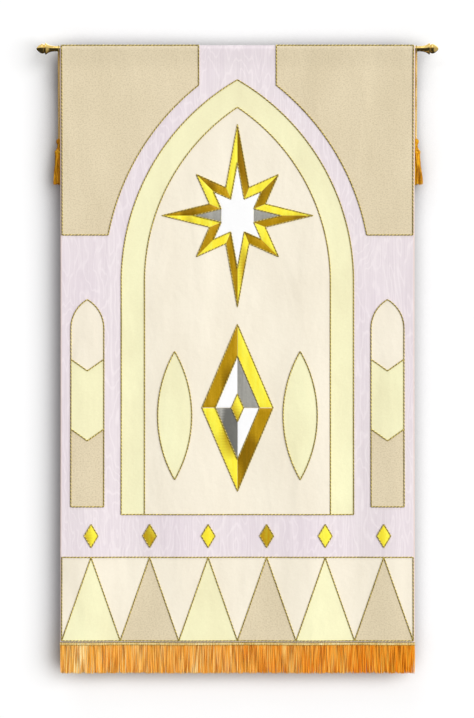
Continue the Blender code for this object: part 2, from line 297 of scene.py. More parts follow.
# Contact shade on the wall: its reach, then least and most openness with the brightness
# that each gives
CONTACT_REACH = 0.112
CONTACT_RANGE = (0.42, 0.90, 0.13, 1.0)

# Suns: name, strength, width, azimuth with 0 in front, elevation, whether gloss shows it
SUNS = (
    ("key_light", 2.84, 58.0, 34.0, 5.0, False),
    ("top_light", 0.30, 30.0, -20.0, 62.0, True),
    ("back_light", 0.90, 60.0, 155.0, 25.0, True),
)

CLOTH_MAP = "cloth_map"
STRAND_MAP = "strand_map"
WHITE = (1.0, 1.0, 1.0, 1.0)
UPRIGHT = (0.0, 0.0, 1.0)


class BannerSizes(bpy.types.PropertyGroup):
    """Sizes of the sewn and spun pieces that a user would change."""

    grid_step: FloatProperty(
        name="Cloth grid", description="Spacing of the ground cloth's points",
        default=0.0072, min=0.004, unit="LENGTH",
    )
    patch_step: FloatProperty(
        name="Patch grid", description="Spacing of the points inside a patch",
        default=0.0105, min=0.005, unit="LENGTH",
    )
    couching_radius: FloatProperty(
        name="Couched cord", description="Radius of the gold cord sewn along the patches",
        default=0.0017, min=0.0005, unit="LENGTH",
    )
    fringe_count: IntProperty(
        name="Fringe strands", description="Strands in each of the fringe's three rows",
        default=400, min=40, max=480,
    )
    fringe_radius: FloatProperty(
        name="Fringe strand", description="Radius of one spun fringe strand",
        default=0.00128, min=0.0005, unit="LENGTH",
    )
    tassel_radius: FloatProperty(
        name="Tassel strand", description="Radius of one strand of a tassel's skirt",
        default=0.00085, min=0.0003, unit="LENGTH",
    )


def colour_property(name, description, default):
    """A colour that a user may change."""
    return FloatVectorProperty(
        name=name, description=description, default=default, size=3, min=0.0, max=1.0,
        subtype="COLOR",
    )


class BannerColours(bpy.types.PropertyGroup):
    """Colours of the cloths, yarns and brass."""

    moire: colour_property("Moire", "Watered ground cloth", (0.86, 0.765, 0.81))
    cream: colour_property("Cream satin", "Field and frieze patches", (0.95, 0.88, 0.73))
    beige: colour_property("Beige brocade", "Corner and frieze patches", (0.81, 0.70, 0.49))
    yellow: colour_property("Pale yellow", "Arch band and light patches", (0.96, 0.94, 0.60))
    # Painted shade: the dark gold and the silver are shaded copies of the gold lame and the white
    # satin, cut as facets beside the bright ones.
    gold: colour_property("Gold lame", "Bright side of star and pendant", (1.0, 0.95, 0.09))
    painted_shade_gold: colour_property("Dark gold lame", "Side laid across the grain", (0.74, 0.43, 0.01))
    white: colour_property("White satin", "Core of star and pendant", (0.97, 0.97, 0.97))
    silver: colour_property("Silver lame", "Shaded side of the cores", (0.56, 0.55, 0.50))
    cord: colour_property("Gold cord", "Bright ply of the couched cord", (0.98, 0.80, 0.20))
    dark_cord: colour_property("Olive ply", "Dark ply of the couched cord", (0.20, 0.14, 0.03))
    fringe: colour_property("Fringe yarn", "Bullion fringe", (1.0, 0.54, 0.09))
    tassel: colour_property("Tassel yarn", "Tassel skirts and knots", (0.82, 0.345, 0.008))
    tassel_cord: colour_property("Tassel cord", "Laid cords of the tassels", (0.93, 0.62, 0.20))
    brass: colour_property("Brass", "Rod and finials", (0.83, 0.60, 0.20))


def ease(value, start, end):
    """Rise smoothly from 0 at start to 1 at end."""
    share = np.clip((value - start) / (end - start), 0.0, 1.0)
    return share * share * (3.0 - 2.0 * share)


def ramp(value, start, end):
    """Rise in a straight line from 0 at start to 1 at end."""
    return np.clip((value - start) / (end - start), 0.0, 1.0)


def fold_offset(across, down):
    """How far the hanging cloth stands behind its flat plane."""
    offset = np.zeros(np.broadcast(across, down).shape)
    for centre, half_width, height, start in FOLDS:
        bump = np.exp(-((across - centre) / half_width) ** 2)
        offset += height * bump * ease(down, start, start + FOLD_GROWTH)
    return offset


def hem_rise(across, down):
    """Extra thickness on the back of the cloth at its turned hems and pocket flap."""
    side = ramp(np.abs(across), CLOTH_HALF - SIDE_HEM, CLOTH_HALF - SIDE_HEM + HEM_SLOPE)
    foot = CLOTH_DROP - BOTTOM_HEM
    bottom = ramp(down, foot, foot + HEM_SLOPE)
    flap = 1.0 - ramp(down, FLAP_END, FLAP_END + HEM_SLOPE)
    return np.maximum(HEM_RISE * np.maximum(side, bottom), CLOTH_THICKNESS * flap)


def drawn_across(across, down):
    """Place across after the cloth has drawn in a little towards its middle height."""
    return across * (1.0 - NARROWING * np.sin(math.pi * down / CLOTH_DROP))


class Pocket:
    """The outer line of the rod pocket, from its seam up the front and over the rod."""

    inner_radius = ROD_RADIUS + GAP
    radius = ROD_RADIUS + GAP + CLOTH_THICKNESS
    lean = math.asin((ROD_RADIUS + GAP) / POCKET_SEAM)
    sweep = math.pi + 2.0 * lean
    foot = np.array((-CLOTH_THICKNESS, -POCKET_SEAM))
    touch = np.array((-math.cos(lean), -math.sin(lean))) * radius
    flat = float(np.linalg.norm(touch - foot))
    arc_start = POCKET_SEAM - flat
    arc_end = arc_start - radius * sweep
    back_seam = arc_end - flat


def slanted_line(down):
    """Places (y, z) on the flat front of the pocket."""
    share = ((POCKET_SEAM - down) / Pocket.flat)[..., None]
    return Pocket.foot + (Pocket.touch - Pocket.foot) * share


def section_place(down, lift):
    """Places (y, z) over the outer line of the cloth's section."""
    down = np.asarray(down, float)
    lift = np.asarray(lift, float)[..., None]
    upright = np.stack([np.full_like(down, -CLOTH_THICKNESS), -down], axis=-1)
    slant = slanted_line(down)
    slant_normal = np.array((-math.cos(Pocket.lean), -math.sin(Pocket.lean)))

    soft_top = slanted_line(np.full_like(down, POCKET_SEAM - SEAM_SOFTENING))
    soft_foot = np.array((-CLOTH_THICKNESS, -POCKET_SEAM - SEAM_SOFTENING))
    share = ramp(down, POCKET_SEAM - SEAM_SOFTENING, POCKET_SEAM + SEAM_SOFTENING)[..., None]
    bend = (1 - share) ** 2 * soft_top + 2 * share * (1 - share) * Pocket.foot
    bend = bend + share**2 * soft_foot
    bend_normal = slant_normal * (1 - share) + np.array((-1.0, 0.0)) * share

    angle = math.pi + Pocket.lean - (Pocket.arc_start - down) / Pocket.radius
    arc_normal = np.stack([np.cos(angle), np.sin(angle)], axis=-1)

    rear = slanted_line(Pocket.back_seam + POCKET_SEAM - down) * (-1.0, 1.0)
    masks = [
        (down >= POCKET_SEAM + SEAM_SOFTENING)[..., None],
        (down >= POCKET_SEAM - SEAM_SOFTENING)[..., None],
        (down >= Pocket.arc_start)[..., None],
        (down >= Pocket.arc_end)[..., None],
    ]
    places = np.select(masks, [upright, bend, slant, arc_normal * Pocket.radius], rear)
    front = np.broadcast_to(np.array((-1.0, 0.0)), places.shape)
    normals = np.select(
        masks,
        [front, bend_normal, np.broadcast_to(slant_normal, places.shape), arc_normal],
        np.broadcast_to(slant_normal * (-1.0, 1.0), places.shape),
    )
    return places + normals * lift


def front_place(across, down, lift=0.0):
    """Points on or over the cloth's front, as an array of (x, y, z)."""
    across, down = np.broadcast_arrays(np.asarray(across, float), np.asarray(down, float))
    place = section_place(down, np.broadcast_to(lift, down.shape))
    level = -place[..., 1]
    return np.stack([
        drawn_across(across, level),
        place[..., 0] + fold_offset(across, level),
        place[..., 1],
    ], axis=-1)


def back_place(across, down, lift=0.0):
    """Points on or behind the cloth's back below the pocket's seam."""
    across, down = np.broadcast_arrays(np.asarray(across, float), np.asarray(down, float))
    behind = fold_offset(across, down) + hem_rise(across, down) + lift
    return np.stack([drawn_across(across, down), behind, -down], axis=-1)


def smooth_line(points, steps):
    """A smooth curve through all the points, with this many steps from each to the next."""
    points = np.asarray(points, float)
    ends = [2 * points[0] - points[1]], [2 * points[-1] - points[-2]]
    knots = np.concatenate([ends[0], points, ends[1]])
    made = []
    for before, start, end, after in zip(knots, knots[1:], knots[2:], knots[3:]):
        for step in range(steps):
            share = step / steps
            made.append(0.5 * (
                2 * start + (end - before) * share
                + (2 * before - 5 * start + 4 * end - after) * share**2
                + (3 * start - before - 3 * end + after) * share**3
            ))
    made.append(points[-1])
    return np.array(made)


def path_lengths(points):
    """Distance along a line of points, for each point."""
    steps = np.linalg.norm(np.diff(points, axis=0), axis=1)
    return np.concatenate([[0.0], np.cumsum(steps)])


def evenly(points, step):
    """Points spaced evenly along a line of points."""
    lengths = path_lengths(points)
    count = max(2, round(lengths[-1] / step))
    wanted = np.linspace(0.0, lengths[-1], count + 1)
    return np.stack([np.interp(wanted, lengths, column) for column in points.T], axis=1)


class MeshStock:
    """Collects points, faces and surface coordinates until they become one mesh."""

    def __init__(self):
        self.points = []
        self.faces = []
        self.maps = []
        self.count = 0

    def add_points(self, points):
        """Store points and return the number of the first one."""
        first = self.count
        points = np.asarray(points, float).reshape(-1, 3)
        self.points.append(points)
        self.count += len(points)
        return first

    def add_faces(self, faces, maps):
        """Store faces as an array of point numbers with one map place for each corner."""
        self.faces.append(np.asarray(faces))
        self.maps.append(np.asarray(maps, float))

    def add_rings(self, rings, along, around=1.0):
        """Join closed rings, an array of (ring, point, xyz), into a tube with closed ends."""
        count, sides = rings.shape[:2]
        first = self.add_points(rings)
        row = np.arange(count - 1)[:, None]
        column = np.arange(sides)[None, :]
        after = (column + 1) % sides
        low = first + row * sides
        quads = np.stack([low + column, low + after, low + sides + after, low + sides + column], -1)
        left = np.broadcast_to(column / sides * around, quads.shape[:2])
        right = np.broadcast_to((column + 1) / sides * around, quads.shape[:2])
        here = np.broadcast_to(along[:-1, None], quads.shape[:2])
        there = np.broadcast_to(along[1:, None], quads.shape[:2])
        maps = np.stack([
            np.stack([left, here], -1), np.stack([right, here], -1),
            np.stack([right, there], -1), np.stack([left, there], -1),
        ], -2)
        self.add_faces(quads.reshape(-1, 4), maps.reshape(-1, 4, 2))
        end_map = np.zeros((1, sides, 2))
        last = first + (count - 1) * sides
        self.add_faces([first + np.arange(sides)[::-1]], end_map + (0.0, along[0]))
        self.add_faces([last + np.arange(sides)], end_map + (0.0, along[-1]))

    def build(self, name, material, slot, replaced=(), map_name=STRAND_MAP, sharp=60.0):
        """Make the object, let it ride on the banner and give it its material."""
        mesh = bpy.data.meshes.new(name)
        faces = [face for group in self.faces for face in group.tolist()]
        mesh.from_pydata(np.concatenate(self.points).tolist(), [], faces)
        places = np.concatenate([group.reshape(-1, 2) for group in self.maps])
        mesh.uv_layers.new(name=map_name).data.foreach_set("uv", places.ravel())
        shape = bmesh.new()
        shape.from_mesh(mesh)
        bmesh.ops.recalc_face_normals(shape, faces=shape.faces)
        shape.to_mesh(mesh)
        shape.free()
        mesh.materials.append(material)
        mesh.shade_smooth()
        mesh.set_sharp_from_angle(angle=math.radians(sharp))
        piece = bpy.data.objects.new(name, mesh)
        bpy.context.scene.collection.objects.link(piece)
        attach(piece, BODY)
        if replaced:
            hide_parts(*replaced)
        return piece


def lobed_section(sides, lobes, valley):
    """A round section with as many lobes as the cord has plies, as a share of its radius."""
    angles = math.tau * np.arange(sides) / sides
    radii = valley + (1.0 - valley) * np.abs(np.cos(angles * lobes / 2.0))
    return np.stack([radii * np.cos(angles), radii * np.sin(angles)], axis=1)


def sweep(stock, path, up, section, radii, turns_per_metre=0.0, start=0.0):
    """Draw a section along a path, turning as a laid cord does.

    The start turns the section, and also moves the yarn's pattern along, so that strands differ.
    """
    path = np.asarray(path, float)
    up = np.broadcast_to(np.asarray(up, float), path.shape)
    along = np.gradient(path, axis=0)
    along /= np.linalg.norm(along, axis=1, keepdims=True)
    side = np.cross(along, up)
    side /= np.linalg.norm(side, axis=1, keepdims=True)
    over = np.cross(side, along)
    lengths = path_lengths(path)
    turn = math.tau * turns_per_metre * lengths + start
    radii = np.broadcast_to(radii, lengths.shape)
    across = (section[None, :, 0] * np.cos(turn)[:, None]
              - section[None, :, 1] * np.sin(turn)[:, None]) * radii[:, None]
    above = (section[None, :, 0] * np.sin(turn)[:, None]
             + section[None, :, 1] * np.cos(turn)[:, None]) * radii[:, None]
    rings = path[:, None, :] + across[..., None] * side[:, None, :]
    rings = rings + above[..., None] * over[:, None, :]
    stock.add_rings(rings, lengths + start)


def turn_profile(stock, outline, origin, axis, sides):
    """Turn an outline of (distance along, radius) about an axis through the origin."""
    axis = Vector(axis)
    first = axis.orthogonal().normalized()
    second = axis.cross(first)
    angles = math.tau * np.arange(sides) / sides
    spokes = np.cos(angles)[:, None] * np.array(first) + np.sin(angles)[:, None] * np.array(second)
    outline = np.asarray(outline, float)
    centres = np.array(origin) + outline[:, :1] * np.array(axis)
    rings = centres[:, None, :] + outline[:, 1][:, None, None] * spokes[None]
    stock.add_rings(rings, path_lengths(outline), around=math.tau * outline[:, 1].max())


class Graph:
    """Short calls that place and join shader nodes."""

    def __init__(self, tree):
        self.tree = tree

    def node(self, kind, **settings):
        """Add a node and set its properties."""
        made = self.tree.nodes.new("ShaderNode" + kind if not kind.startswith("Node") else kind)
        for key, value in settings.items():
            setattr(made, key, value)
        return made

    def feed(self, socket, value):
        """Join a socket to another, or set its value."""
        if isinstance(value, bpy.types.NodeSocket):
            self.tree.links.new(value, socket)
        else:
            socket.default_value = value

    def feed_all(self, sockets, values):
        """Join or set several sockets by name."""
        for label, value in values.items():
            self.feed(sockets[label], value)

    def math(self, operation, first, second=0.0, clamp=False):
        """A number worked out from one or two others."""
        made = self.node("Math", operation=operation, use_clamp=clamp)
        self.feed(made.inputs[0], first)
        self.feed(made.inputs[1], second)
        return made.outputs[0]

    def plus(self, first, second, clamp=False):
        """The sum of two numbers."""
        return self.math("ADD", first, second, clamp)

    def times(self, first, second):
        """The product of two numbers."""
        return self.math("MULTIPLY", first, second)

    def parts(self, vector):
        """The three numbers of a vector."""
        made = self.node("SeparateXYZ")
        self.feed(made.inputs[0], vector)
        return made.outputs

    def joined(self, first, second):
        """A vector from two numbers."""
        made = self.node("CombineXYZ")
        self.feed(made.inputs[0], first)
        self.feed(made.inputs[1], second)
        return made.outputs[0]

    def scaled(self, vector, factors):
        """A vector multiplied by three factors."""
        made = self.node("VectorMath", operation="MULTIPLY")
        self.feed(made.inputs[0], vector)
        self.feed(made.inputs[1], factors)
        return made.outputs[0]

    def noise(self, vector, scale, detail=2.0, roughness=0.5, distortion=0.0):
        """Smooth noise from 0 to 1."""
        made = self.node("TexNoise")
        self.feed(made.inputs["Vector"], vector)
        self.feed(made.inputs["Scale"], scale)
        self.feed(made.inputs["Detail"], detail)
        self.feed(made.inputs["Roughness"], roughness)
        self.feed(made.inputs["Distortion"], distortion)
        return made.outputs["Fac"]

    def remap(self, value, low, high, to_low=0.0, to_high=1.0):
        """Stretch a range of numbers onto another, clamped."""
        made = self.node("MapRange")
        for index, number in enumerate((value, low, high, to_low, to_high)):
            self.feed(made.inputs[index], number)
        return made.outputs[0]

    def mix(self, share, first, second, blend="MIX"):
        """A colour between two others."""
        made = self.node("Mix", data_type="RGBA", blend_type=blend)
        self.feed(made.inputs[0], share)
        self.feed(made.inputs[6], first)
        self.feed(made.inputs[7], second)
        return made.outputs[2]

    def bump(self, height, distance, strength=1.0, normal=None):
        """A normal bent by a height."""
        made = self.node("Bump")
        self.feed(made.inputs["Height"], height)
        self.feed(made.inputs["Distance"], distance)
        self.feed(made.inputs["Strength"], strength)
        if normal is not None:
            self.feed(made.inputs["Normal"], normal)
        return made.outputs["Normal"]

    def group(self, tree, **values):
        """Place a node group with its own values, named with _ for each blank."""
        made = self.node("Group", node_tree=tree)
        for key, value in values.items():
            self.feed(made.inputs[key.replace("_", " ")], value)
        return made.outputs


def node_group(name, inputs, outputs):
    """Turn a function that fills a node group into one that builds it once and hands it out.

    Each group takes a vector and the named numbers, and puts out the named numbers.
    """

    def build():
        tree = bpy.data.node_groups.new(name, "ShaderNodeTree")
        add = tree.interface.new_socket
        add(name="Vector", in_out="INPUT", socket_type="NodeSocketVector")
        for label, default in inputs.items():
            add(name=label, in_out="INPUT", socket_type="NodeSocketFloat").default_value = default
        for label in outputs:
            add(name=label, in_out="OUTPUT", socket_type="NodeSocketFloat")
        return tree

    def wrap(fill):
        def fetch():
            tree = bpy.data.node_groups.get(name)
            if tree is None:
                tree = build()
                graph = Graph(tree)
                given = graph.node("NodeGroupInput").outputs
                wanted = graph.node("NodeGroupOutput").inputs
                graph.feed_all(wanted, fill(graph, given))
            return tree

        return fetch

    return wrap


@node_group("Thread Weave", {"Threads Across": 900.0, "Threads Down": 700.0}, ("Height", "Mask"))
def weave_group(graph, given):
    """Crossed threads: a height and a mask of the threads that run down."""
    parts = graph.parts(given["Vector"])
    warp = graph.times(parts[0], given["Threads Across"])
    weft = graph.times(parts[1], given["Threads Down"])
    warp = graph.math("SINE", graph.times(warp, math.tau))
    weft = graph.math("SINE", graph.times(weft, math.tau))
    slub = graph.noise(graph.scaled(given["Vector"], (90.0, 900.0, 1.0)), 1.0, 2.0)
    crossed = graph.math("MAXIMUM", warp, graph.times(weft, 0.8))
    return {
        "Height": graph.plus(graph.times(crossed, 0.5), slub),
        "Mask": graph.remap(warp, -1.0, 1.0),
    }


@node_group("Colour Drift", {"Scale": 6.0}, ("Tone",))
def drift_group(graph, given):
    """Slow unevenness of tone over the surface, with a little fine mottling."""
    slow = graph.noise(graph.scaled(given["Vector"], (1.0, 0.6, 1.0)), given["Scale"], 3.0)
    fine = graph.noise(given["Vector"], graph.times(given["Scale"], 28.0), 2.0)
    mixed = graph.plus(graph.times(slow, 0.8), graph.times(fine, 0.2))
    return {"Tone": graph.remap(mixed, 0.32, 0.68)}


@node_group("Cloth Ripples", {"Scale": 14.0}, ("Height",))
def wrinkle_group(graph, given):
    """Small puckers and hanging ripples of a stiffened cloth."""
    stretched = graph.scaled(given["Vector"], (1.0, 0.35, 1.0))
    ripples = graph.noise(stretched, given["Scale"], 2.0, 0.45, 0.4)
    puckers = graph.noise(given["Vector"], graph.times(given["Scale"], 5.0), 2.0)
    return {"Height": graph.plus(ripples, graph.times(puckers, 0.16))}


@node_group("Watered Figure", {"Contours": 60.0}, ("Tone", "Height"))
def watermark_group(graph, given):
    """Figure of watered cloth: upright streaks crossed by long drawn-out contours."""
    vector = given["Vector"]
    slow = graph.noise(graph.scaled(vector, (11.0, 2.6, 1.0)), 1.0, 3.0, 0.55, 0.3)
    contour = graph.math("SINE", graph.times(slow, given["Contours"]))
    contour = graph.remap(graph.math("ABSOLUTE", contour), 0.0, 0.55)
    streaks = graph.noise(graph.scaled(vector, (260.0, 5.0, 1.0)), 1.0, 3.0, 0.65)
    wide = graph.noise(graph.scaled(vector, (60.0, 2.2, 1.0)), 1.0, 2.0)
    lines = graph.plus(graph.times(streaks, 0.6), graph.times(wide, 0.4))
    tone = graph.plus(graph.times(lines, 0.82), graph.times(contour, 0.18))
    return {"Tone": graph.remap(tone, 0.42, 0.74), "Height": streaks}


@node_group("Spun Fibres", {"Plies": 2.0, "Turns": 140.0}, ("Height", "Tone", "Groove", "Ply"))
def spun_group(graph, given):
    """Fibres of a spun strand: slanting lines round it, with lighter and darker strands."""
    parts = graph.parts(given["Vector"])
    around = graph.times(parts[0], given["Plies"])
    turned = graph.plus(around, graph.times(parts[1], given["Turns"]))
    wave = graph.math("SINE", graph.times(turned, math.tau))
    fibres = graph.joined(graph.times(turned, 9.0), graph.times(parts[1], 260.0))
    fuzz = graph.noise(fibres, 1.0, 2.0)
    place = graph.node("TexCoord").outputs["Object"]
    strand = graph.noise(graph.scaled(place, (420.0, 420.0, 9.0)), 1.0, 2.0)
    wide = graph.noise(graph.scaled(place, (14.0, 14.0, 2.0)), 1.0, 1.0)
    tone = graph.plus(graph.times(strand, 0.5), graph.times(wide, 0.2))
    ply = graph.math("COSINE", graph.times(around, math.pi))
    return {
        "Height": graph.plus(graph.times(wave, 0.5), fuzz),
        "Tone": graph.remap(graph.plus(tone, graph.times(fuzz, 0.3)), 0.38, 0.62),
        "Groove": graph.remap(graph.math("ABSOLUTE", ply), 0.0, 0.55, 1.0, 0.0),
        "Ply": graph.remap(ply, -0.10, 0.30),
    }


def plain_material(name):
    """A new material, the graph of its nodes and its Principled shader."""
    material = bpy.data.materials.new(name)
    material.use_nodes = True
    tree = material.node_tree
    return material, Graph(tree), tree.nodes["Principled BSDF"]


def kept_material(map_name):
    """Turn a function that works out a shader's values into one that makes each material once."""

    def wrap(fill):
        def fetch(name, *values, **named):
            material = bpy.data.materials.get(name)
            if material is None:
                material, graph, shader = plain_material(name)
                place = graph.node("UVMap", uv_map=map_name).outputs[0]
                graph.feed_all(shader.inputs, fill(graph, place, *values, **named))
            return material

        return fetch

    return wrap


def opaque(colour, share=1.0):
    """A colour with its alpha, darkened or lightened by a share."""
    return tuple(min(1.0, value * share) for value in colour) + (1.0,)


@kept_material(CLOTH_MAP)
def cloth_material(graph, place, colour, dark, contrast, threads, ripple, sheen, speckle=0.0):
    """Woven cloth: threads, drifting tone, ripples and, on brocade, a fine speckle."""
    drift = graph.group(drift_group(), Vector=place, Scale=7.0)["Tone"]
    weave = graph.group(
        weave_group(), Vector=place, Threads_Across=threads, Threads_Down=threads * 0.8)
    ripples = graph.group(wrinkle_group(), Vector=place, Scale=13.0)["Height"]
    tone = graph.times(drift, contrast)
    if speckle:
        figure = graph.noise(graph.scaled(place, (250.0, 310.0, 1.0)), 1.0, 3.0, 0.7)
        tone = graph.plus(tone, graph.remap(figure, 0.47, 0.60, 0.0, speckle), clamp=True)
    tone = graph.plus(tone, graph.times(weave["Mask"], 0.06), clamp=True)
    return {
        "Base Color": graph.mix(tone, opaque(colour), opaque(dark)),
        "Roughness": graph.remap(drift, 0.0, 1.0, 0.42, 0.55),
        "Sheen Weight": sheen,
        "Sheen Roughness": 0.4,
        "Normal": graph.bump(weave["Height"], 0.00008, 0.6, graph.bump(ripples, ripple)),
    }


@kept_material(CLOTH_MAP)
def moire_material(graph, place, colours):
    """Watered silk: upright streaks and contours that change tone and gloss."""
    figure = graph.group(watermark_group(), Vector=place, Contours=54.0)
    drift = graph.group(drift_group(), Vector=place, Scale=4.0)["Tone"]
    weave = graph.group(weave_group(), Vector=place, Threads_Across=420.0, Threads_Down=900.0)
    ripples = graph.group(wrinkle_group(), Vector=place, Scale=11.0)["Height"]
    base = graph.mix(drift, opaque(colours.moire), opaque((0.88, 0.805, 0.815)))
    shaded = graph.mix(1.0, base, (0.855, 0.84, 0.86, 1.0), "MULTIPLY")
    watered = graph.mix(figure["Tone"], base, shaded)
    # Painted shade: the ground turns darker and warmer in its last few millimetres at both side edges.
    off_middle = graph.math("ABSOLUTE", graph.parts(place)[0])
    edge = graph.remap(off_middle, CLOTH_HALF - 0.0045, CLOTH_HALF - 0.0015, 0.0, 0.75)
    ribs = graph.bump(figure["Height"], 0.00012, 0.5, graph.bump(ripples, 0.0030))
    return {
        "Base Color": graph.mix(edge, watered, (0.78, 0.60, 0.52, 1.0)),
        "Roughness": graph.remap(figure["Tone"], 0.0, 1.0, 0.38, 0.56),
        "Sheen Weight": 0.15,
        "Normal": graph.bump(weave["Height"], 0.00006, 0.5, ribs),
    }


@kept_material(CLOTH_MAP)
def lame_material(graph, place, colour, middle, dark, metallic, roughness, painted_shade_share):
    """Metallic cloth with painted shade in large dark zones with a zigzag edge, and fine upright pulls.
    """
    weave = graph.group(weave_group(), Vector=place, Threads_Across=800.0, Threads_Down=600.0)
    ripples = graph.group(wrinkle_group(), Vector=place, Scale=16.0)["Height"]
    parts = graph.parts(place)
    zigzag = graph.math("PINGPONG", parts[1], 0.0036)
    moved = graph.joined(graph.plus(parts[0], zigzag), parts[1])
    slow = graph.noise(graph.scaled(moved, (10.0, 3.4, 1.0)), 1.0, 1.0)
    # Painted shade: this mask lays large dark zones with a zigzag edge over the bright lame.
    painted_shade_zone = graph.remap(slow, 0.60 - 0.2 * painted_shade_share, 0.68 - 0.2 * painted_shade_share)
    pulls = graph.noise(graph.scaled(place, (70.0, 5.0, 1.0)), 1.0, 3.0, 0.6, 0.5)
    fine = graph.noise(graph.scaled(place, (700.0, 160.0, 1.0)), 1.0, 2.0)
    tone = graph.plus(graph.times(pulls, 0.7), graph.times(fine, 0.3))
    tone = graph.remap(tone, 0.38, 0.62)
    shine = graph.mix(tone, opaque(colour), opaque(middle))
    shade = graph.mix(tone, opaque(dark), opaque(middle, 0.55))
    glint = graph.noise(graph.scaled(place, (900.0, 700.0, 1.0)), 1.0, 1.0)
    return {
        "Base Color": graph.mix(painted_shade_zone, shine, shade),
        "Roughness": graph.remap(glint, 0.3, 0.7, roughness - 0.07, roughness + 0.10),
        "Metallic": metallic,
        "Normal": graph.bump(weave["Height"], 0.00010, 0.7, graph.bump(ripples, 0.0045)),
    }


@kept_material(STRAND_MAP)
def yarn_material(graph, place, colour, dark, bright, turns, plies=2.0, roughness=0.42, lean=None):
    """Spun yarn or cord: lighter and darker strands, with shade between the plies.

    A lean is painted shade: a darker, warmer tint that comes in from the banner's left to its right.
    """
    spun = graph.group(spun_group(), Vector=place, Plies=plies, Turns=turns)
    shade = graph.mix(graph.remap(spun["Tone"], 0.0, 0.5), opaque(dark), opaque(colour))
    yarn = graph.mix(graph.remap(spun["Tone"], 0.5, 1.0), shade, opaque(bright))
    if lean:
        parts = graph.parts(graph.node("TexCoord").outputs["Object"])
        across = graph.remap(parts[0], -CLOTH_HALF, CLOTH_HALF)
        yarn = graph.mix(across, yarn, graph.mix(1.0, yarn, opaque(lean), "MULTIPLY"))
    deep = graph.mix(1.0, yarn, (0.66, 0.50, 0.28, 1.0), "MULTIPLY")
    return {
        "Base Color": graph.mix(graph.times(spun["Groove"], 0.35), yarn, deep),
        "Roughness": graph.remap(spun["Tone"], 0.0, 1.0, roughness + 0.14, roughness - 0.06),
        "Specular IOR Level": 0.3,
        "Normal": graph.bump(spun["Height"], 0.00025, 0.6),
    }


@kept_material(STRAND_MAP)
def cord_material(graph, place, colours):
    """Couching cord of a bright metallic ply laid with a dark olive one."""
    spun = graph.group(spun_group(), Vector=place, Plies=2.0, Turns=160.0)
    tone = graph.remap(spun["Tone"], 0.1, 0.7)
    bright = graph.mix(tone, opaque(colours.cord, 0.45), opaque(colours.cord))
    olive = graph.mix(spun["Tone"], opaque(colours.dark_cord), opaque(colours.dark_cord, 1.6))
    return {
        "Base Color": graph.mix(spun["Ply"], olive, bright),
        "Metallic": graph.remap(spun["Ply"], 0.0, 1.0, 0.1, 0.45),
        "Roughness": graph.remap(spun["Tone"], 0.0, 1.0, 0.45, 0.28),
        "Normal": graph.bump(spun["Height"], 0.0002, 0.6),
    }


@kept_material(STRAND_MAP)
def brass_material(graph, _, colours):
    """Polished brass with a little tarnish, fine scratches and softer worn places."""
    place = graph.node("TexCoord").outputs["Object"]
    drift = graph.group(drift_group(), Vector=place, Scale=60.0)["Tone"]
    scratches = graph.noise(graph.scaled(place, (30.0, 900.0, 900.0)), 1.0, 2.0)
    tarnish = graph.times(drift, 0.5)
    worn = graph.remap(drift, 0.0, 1.0, 0.07, 0.20)
    return {
        "Base Color": graph.mix(tarnish, opaque(colours.brass), (0.56, 0.37, 0.10, 1.0)),
        "Roughness": graph.plus(worn, graph.remap(scratches, 0.4, 0.7, 0.0, 0.08)),
        "Metallic": 1.0,
        "Normal": graph.bump(scratches, 0.00002, 0.4),
    }


def ground_columns(step):
    """Places across the cloth where its grid has a line of points."""
    rounding = [EDGE_ROUNDING * share for share in EDGE_SHARES]
    hem = SIDE_HEM - HEM_SLOPE
    edge = rounding + [0.006, 0.012, hem, SIDE_HEM]
    inner = CLOTH_HALF - SIDE_HEM
    count = round(2 * inner / step)
    panel = [inner * (2 * index / count - 1) for index in range(1, count)]
    left = [inset - CLOTH_HALF for inset in edge]
    return np.array(left + panel + [-place for place in reversed(left)])


def ground_rows(step):
    """Distances down the cloth, from the pocket's seam to the lower edge."""
    rounding = [EDGE_ROUNDING * share for share in reversed(EDGE_SHARES)]
    top = FLAP_END + HEM_SLOPE
    foot = CLOTH_DROP - BOTTOM_HEM
    count = round((foot - top) / step)
    panel = [top + (foot - top) * index / count for index in range(count + 1)]
    hem = [foot + HEM_SLOPE, foot + 0.009, foot + 0.018]
    below = [CLOTH_DROP - inset for inset in rounding]
    return np.array([POCKET_SEAM, 0.5 * (POCKET_SEAM + FLAP_END), FLAP_END] + panel + hem + below)


def edge_dip(across, down):
    """How far a face draws in towards the cloth's middle at its folded edges."""
    inset = np.minimum(CLOTH_HALF - np.abs(across), CLOTH_DROP - down)
    return EDGE_DIP * CLOTH_THICKNESS * (1.0 - np.clip(inset / EDGE_ROUNDING, 0.0, 1.0)) ** 2


def pocket_lines(columns):
    """The pocket's outer and inner points for each column, from seam to seam."""
    shares = np.linspace(0.0, 1.0, POCKET_STEPS + 1)
    downs = POCKET_SEAM + (Pocket.back_seam - POCKET_SEAM) * shares
    outer = front_place(columns[:, None], downs[None, 1:-1], -edge_dip(columns, 0.0)[:, None])
    radius, lean = Pocket.inner_radius, Pocket.lean
    flat = math.sqrt(POCKET_SEAM**2 - radius**2)
    whole = 2 * flat + radius * Pocket.sweep
    inner = []
    for share in shares[:-1]:
        reached = share * whole
        if flat <= reached < whole - flat:
            angle = math.pi + lean - (reached - flat) / radius
            inner.append((math.cos(angle) * radius, math.sin(angle) * radius))
        else:
            side = -1.0 if reached < flat else 1.0
            spot = min(reached, whole - reached) / flat
            inner.append((side * spot * math.cos(lean) * radius,
                          -POCKET_SEAM + spot * (POCKET_SEAM - math.sin(lean) * radius)))
    inner = np.array(inner)
    across = drawn_across(columns[:, None], -inner[None, :, 1])
    depth = np.broadcast_to(inner[None, :, 0], across.shape)
    height = np.broadcast_to(inner[None, :, 1], across.shape)
    return outer, np.stack([across, depth, height], axis=-1), downs[1:-1]


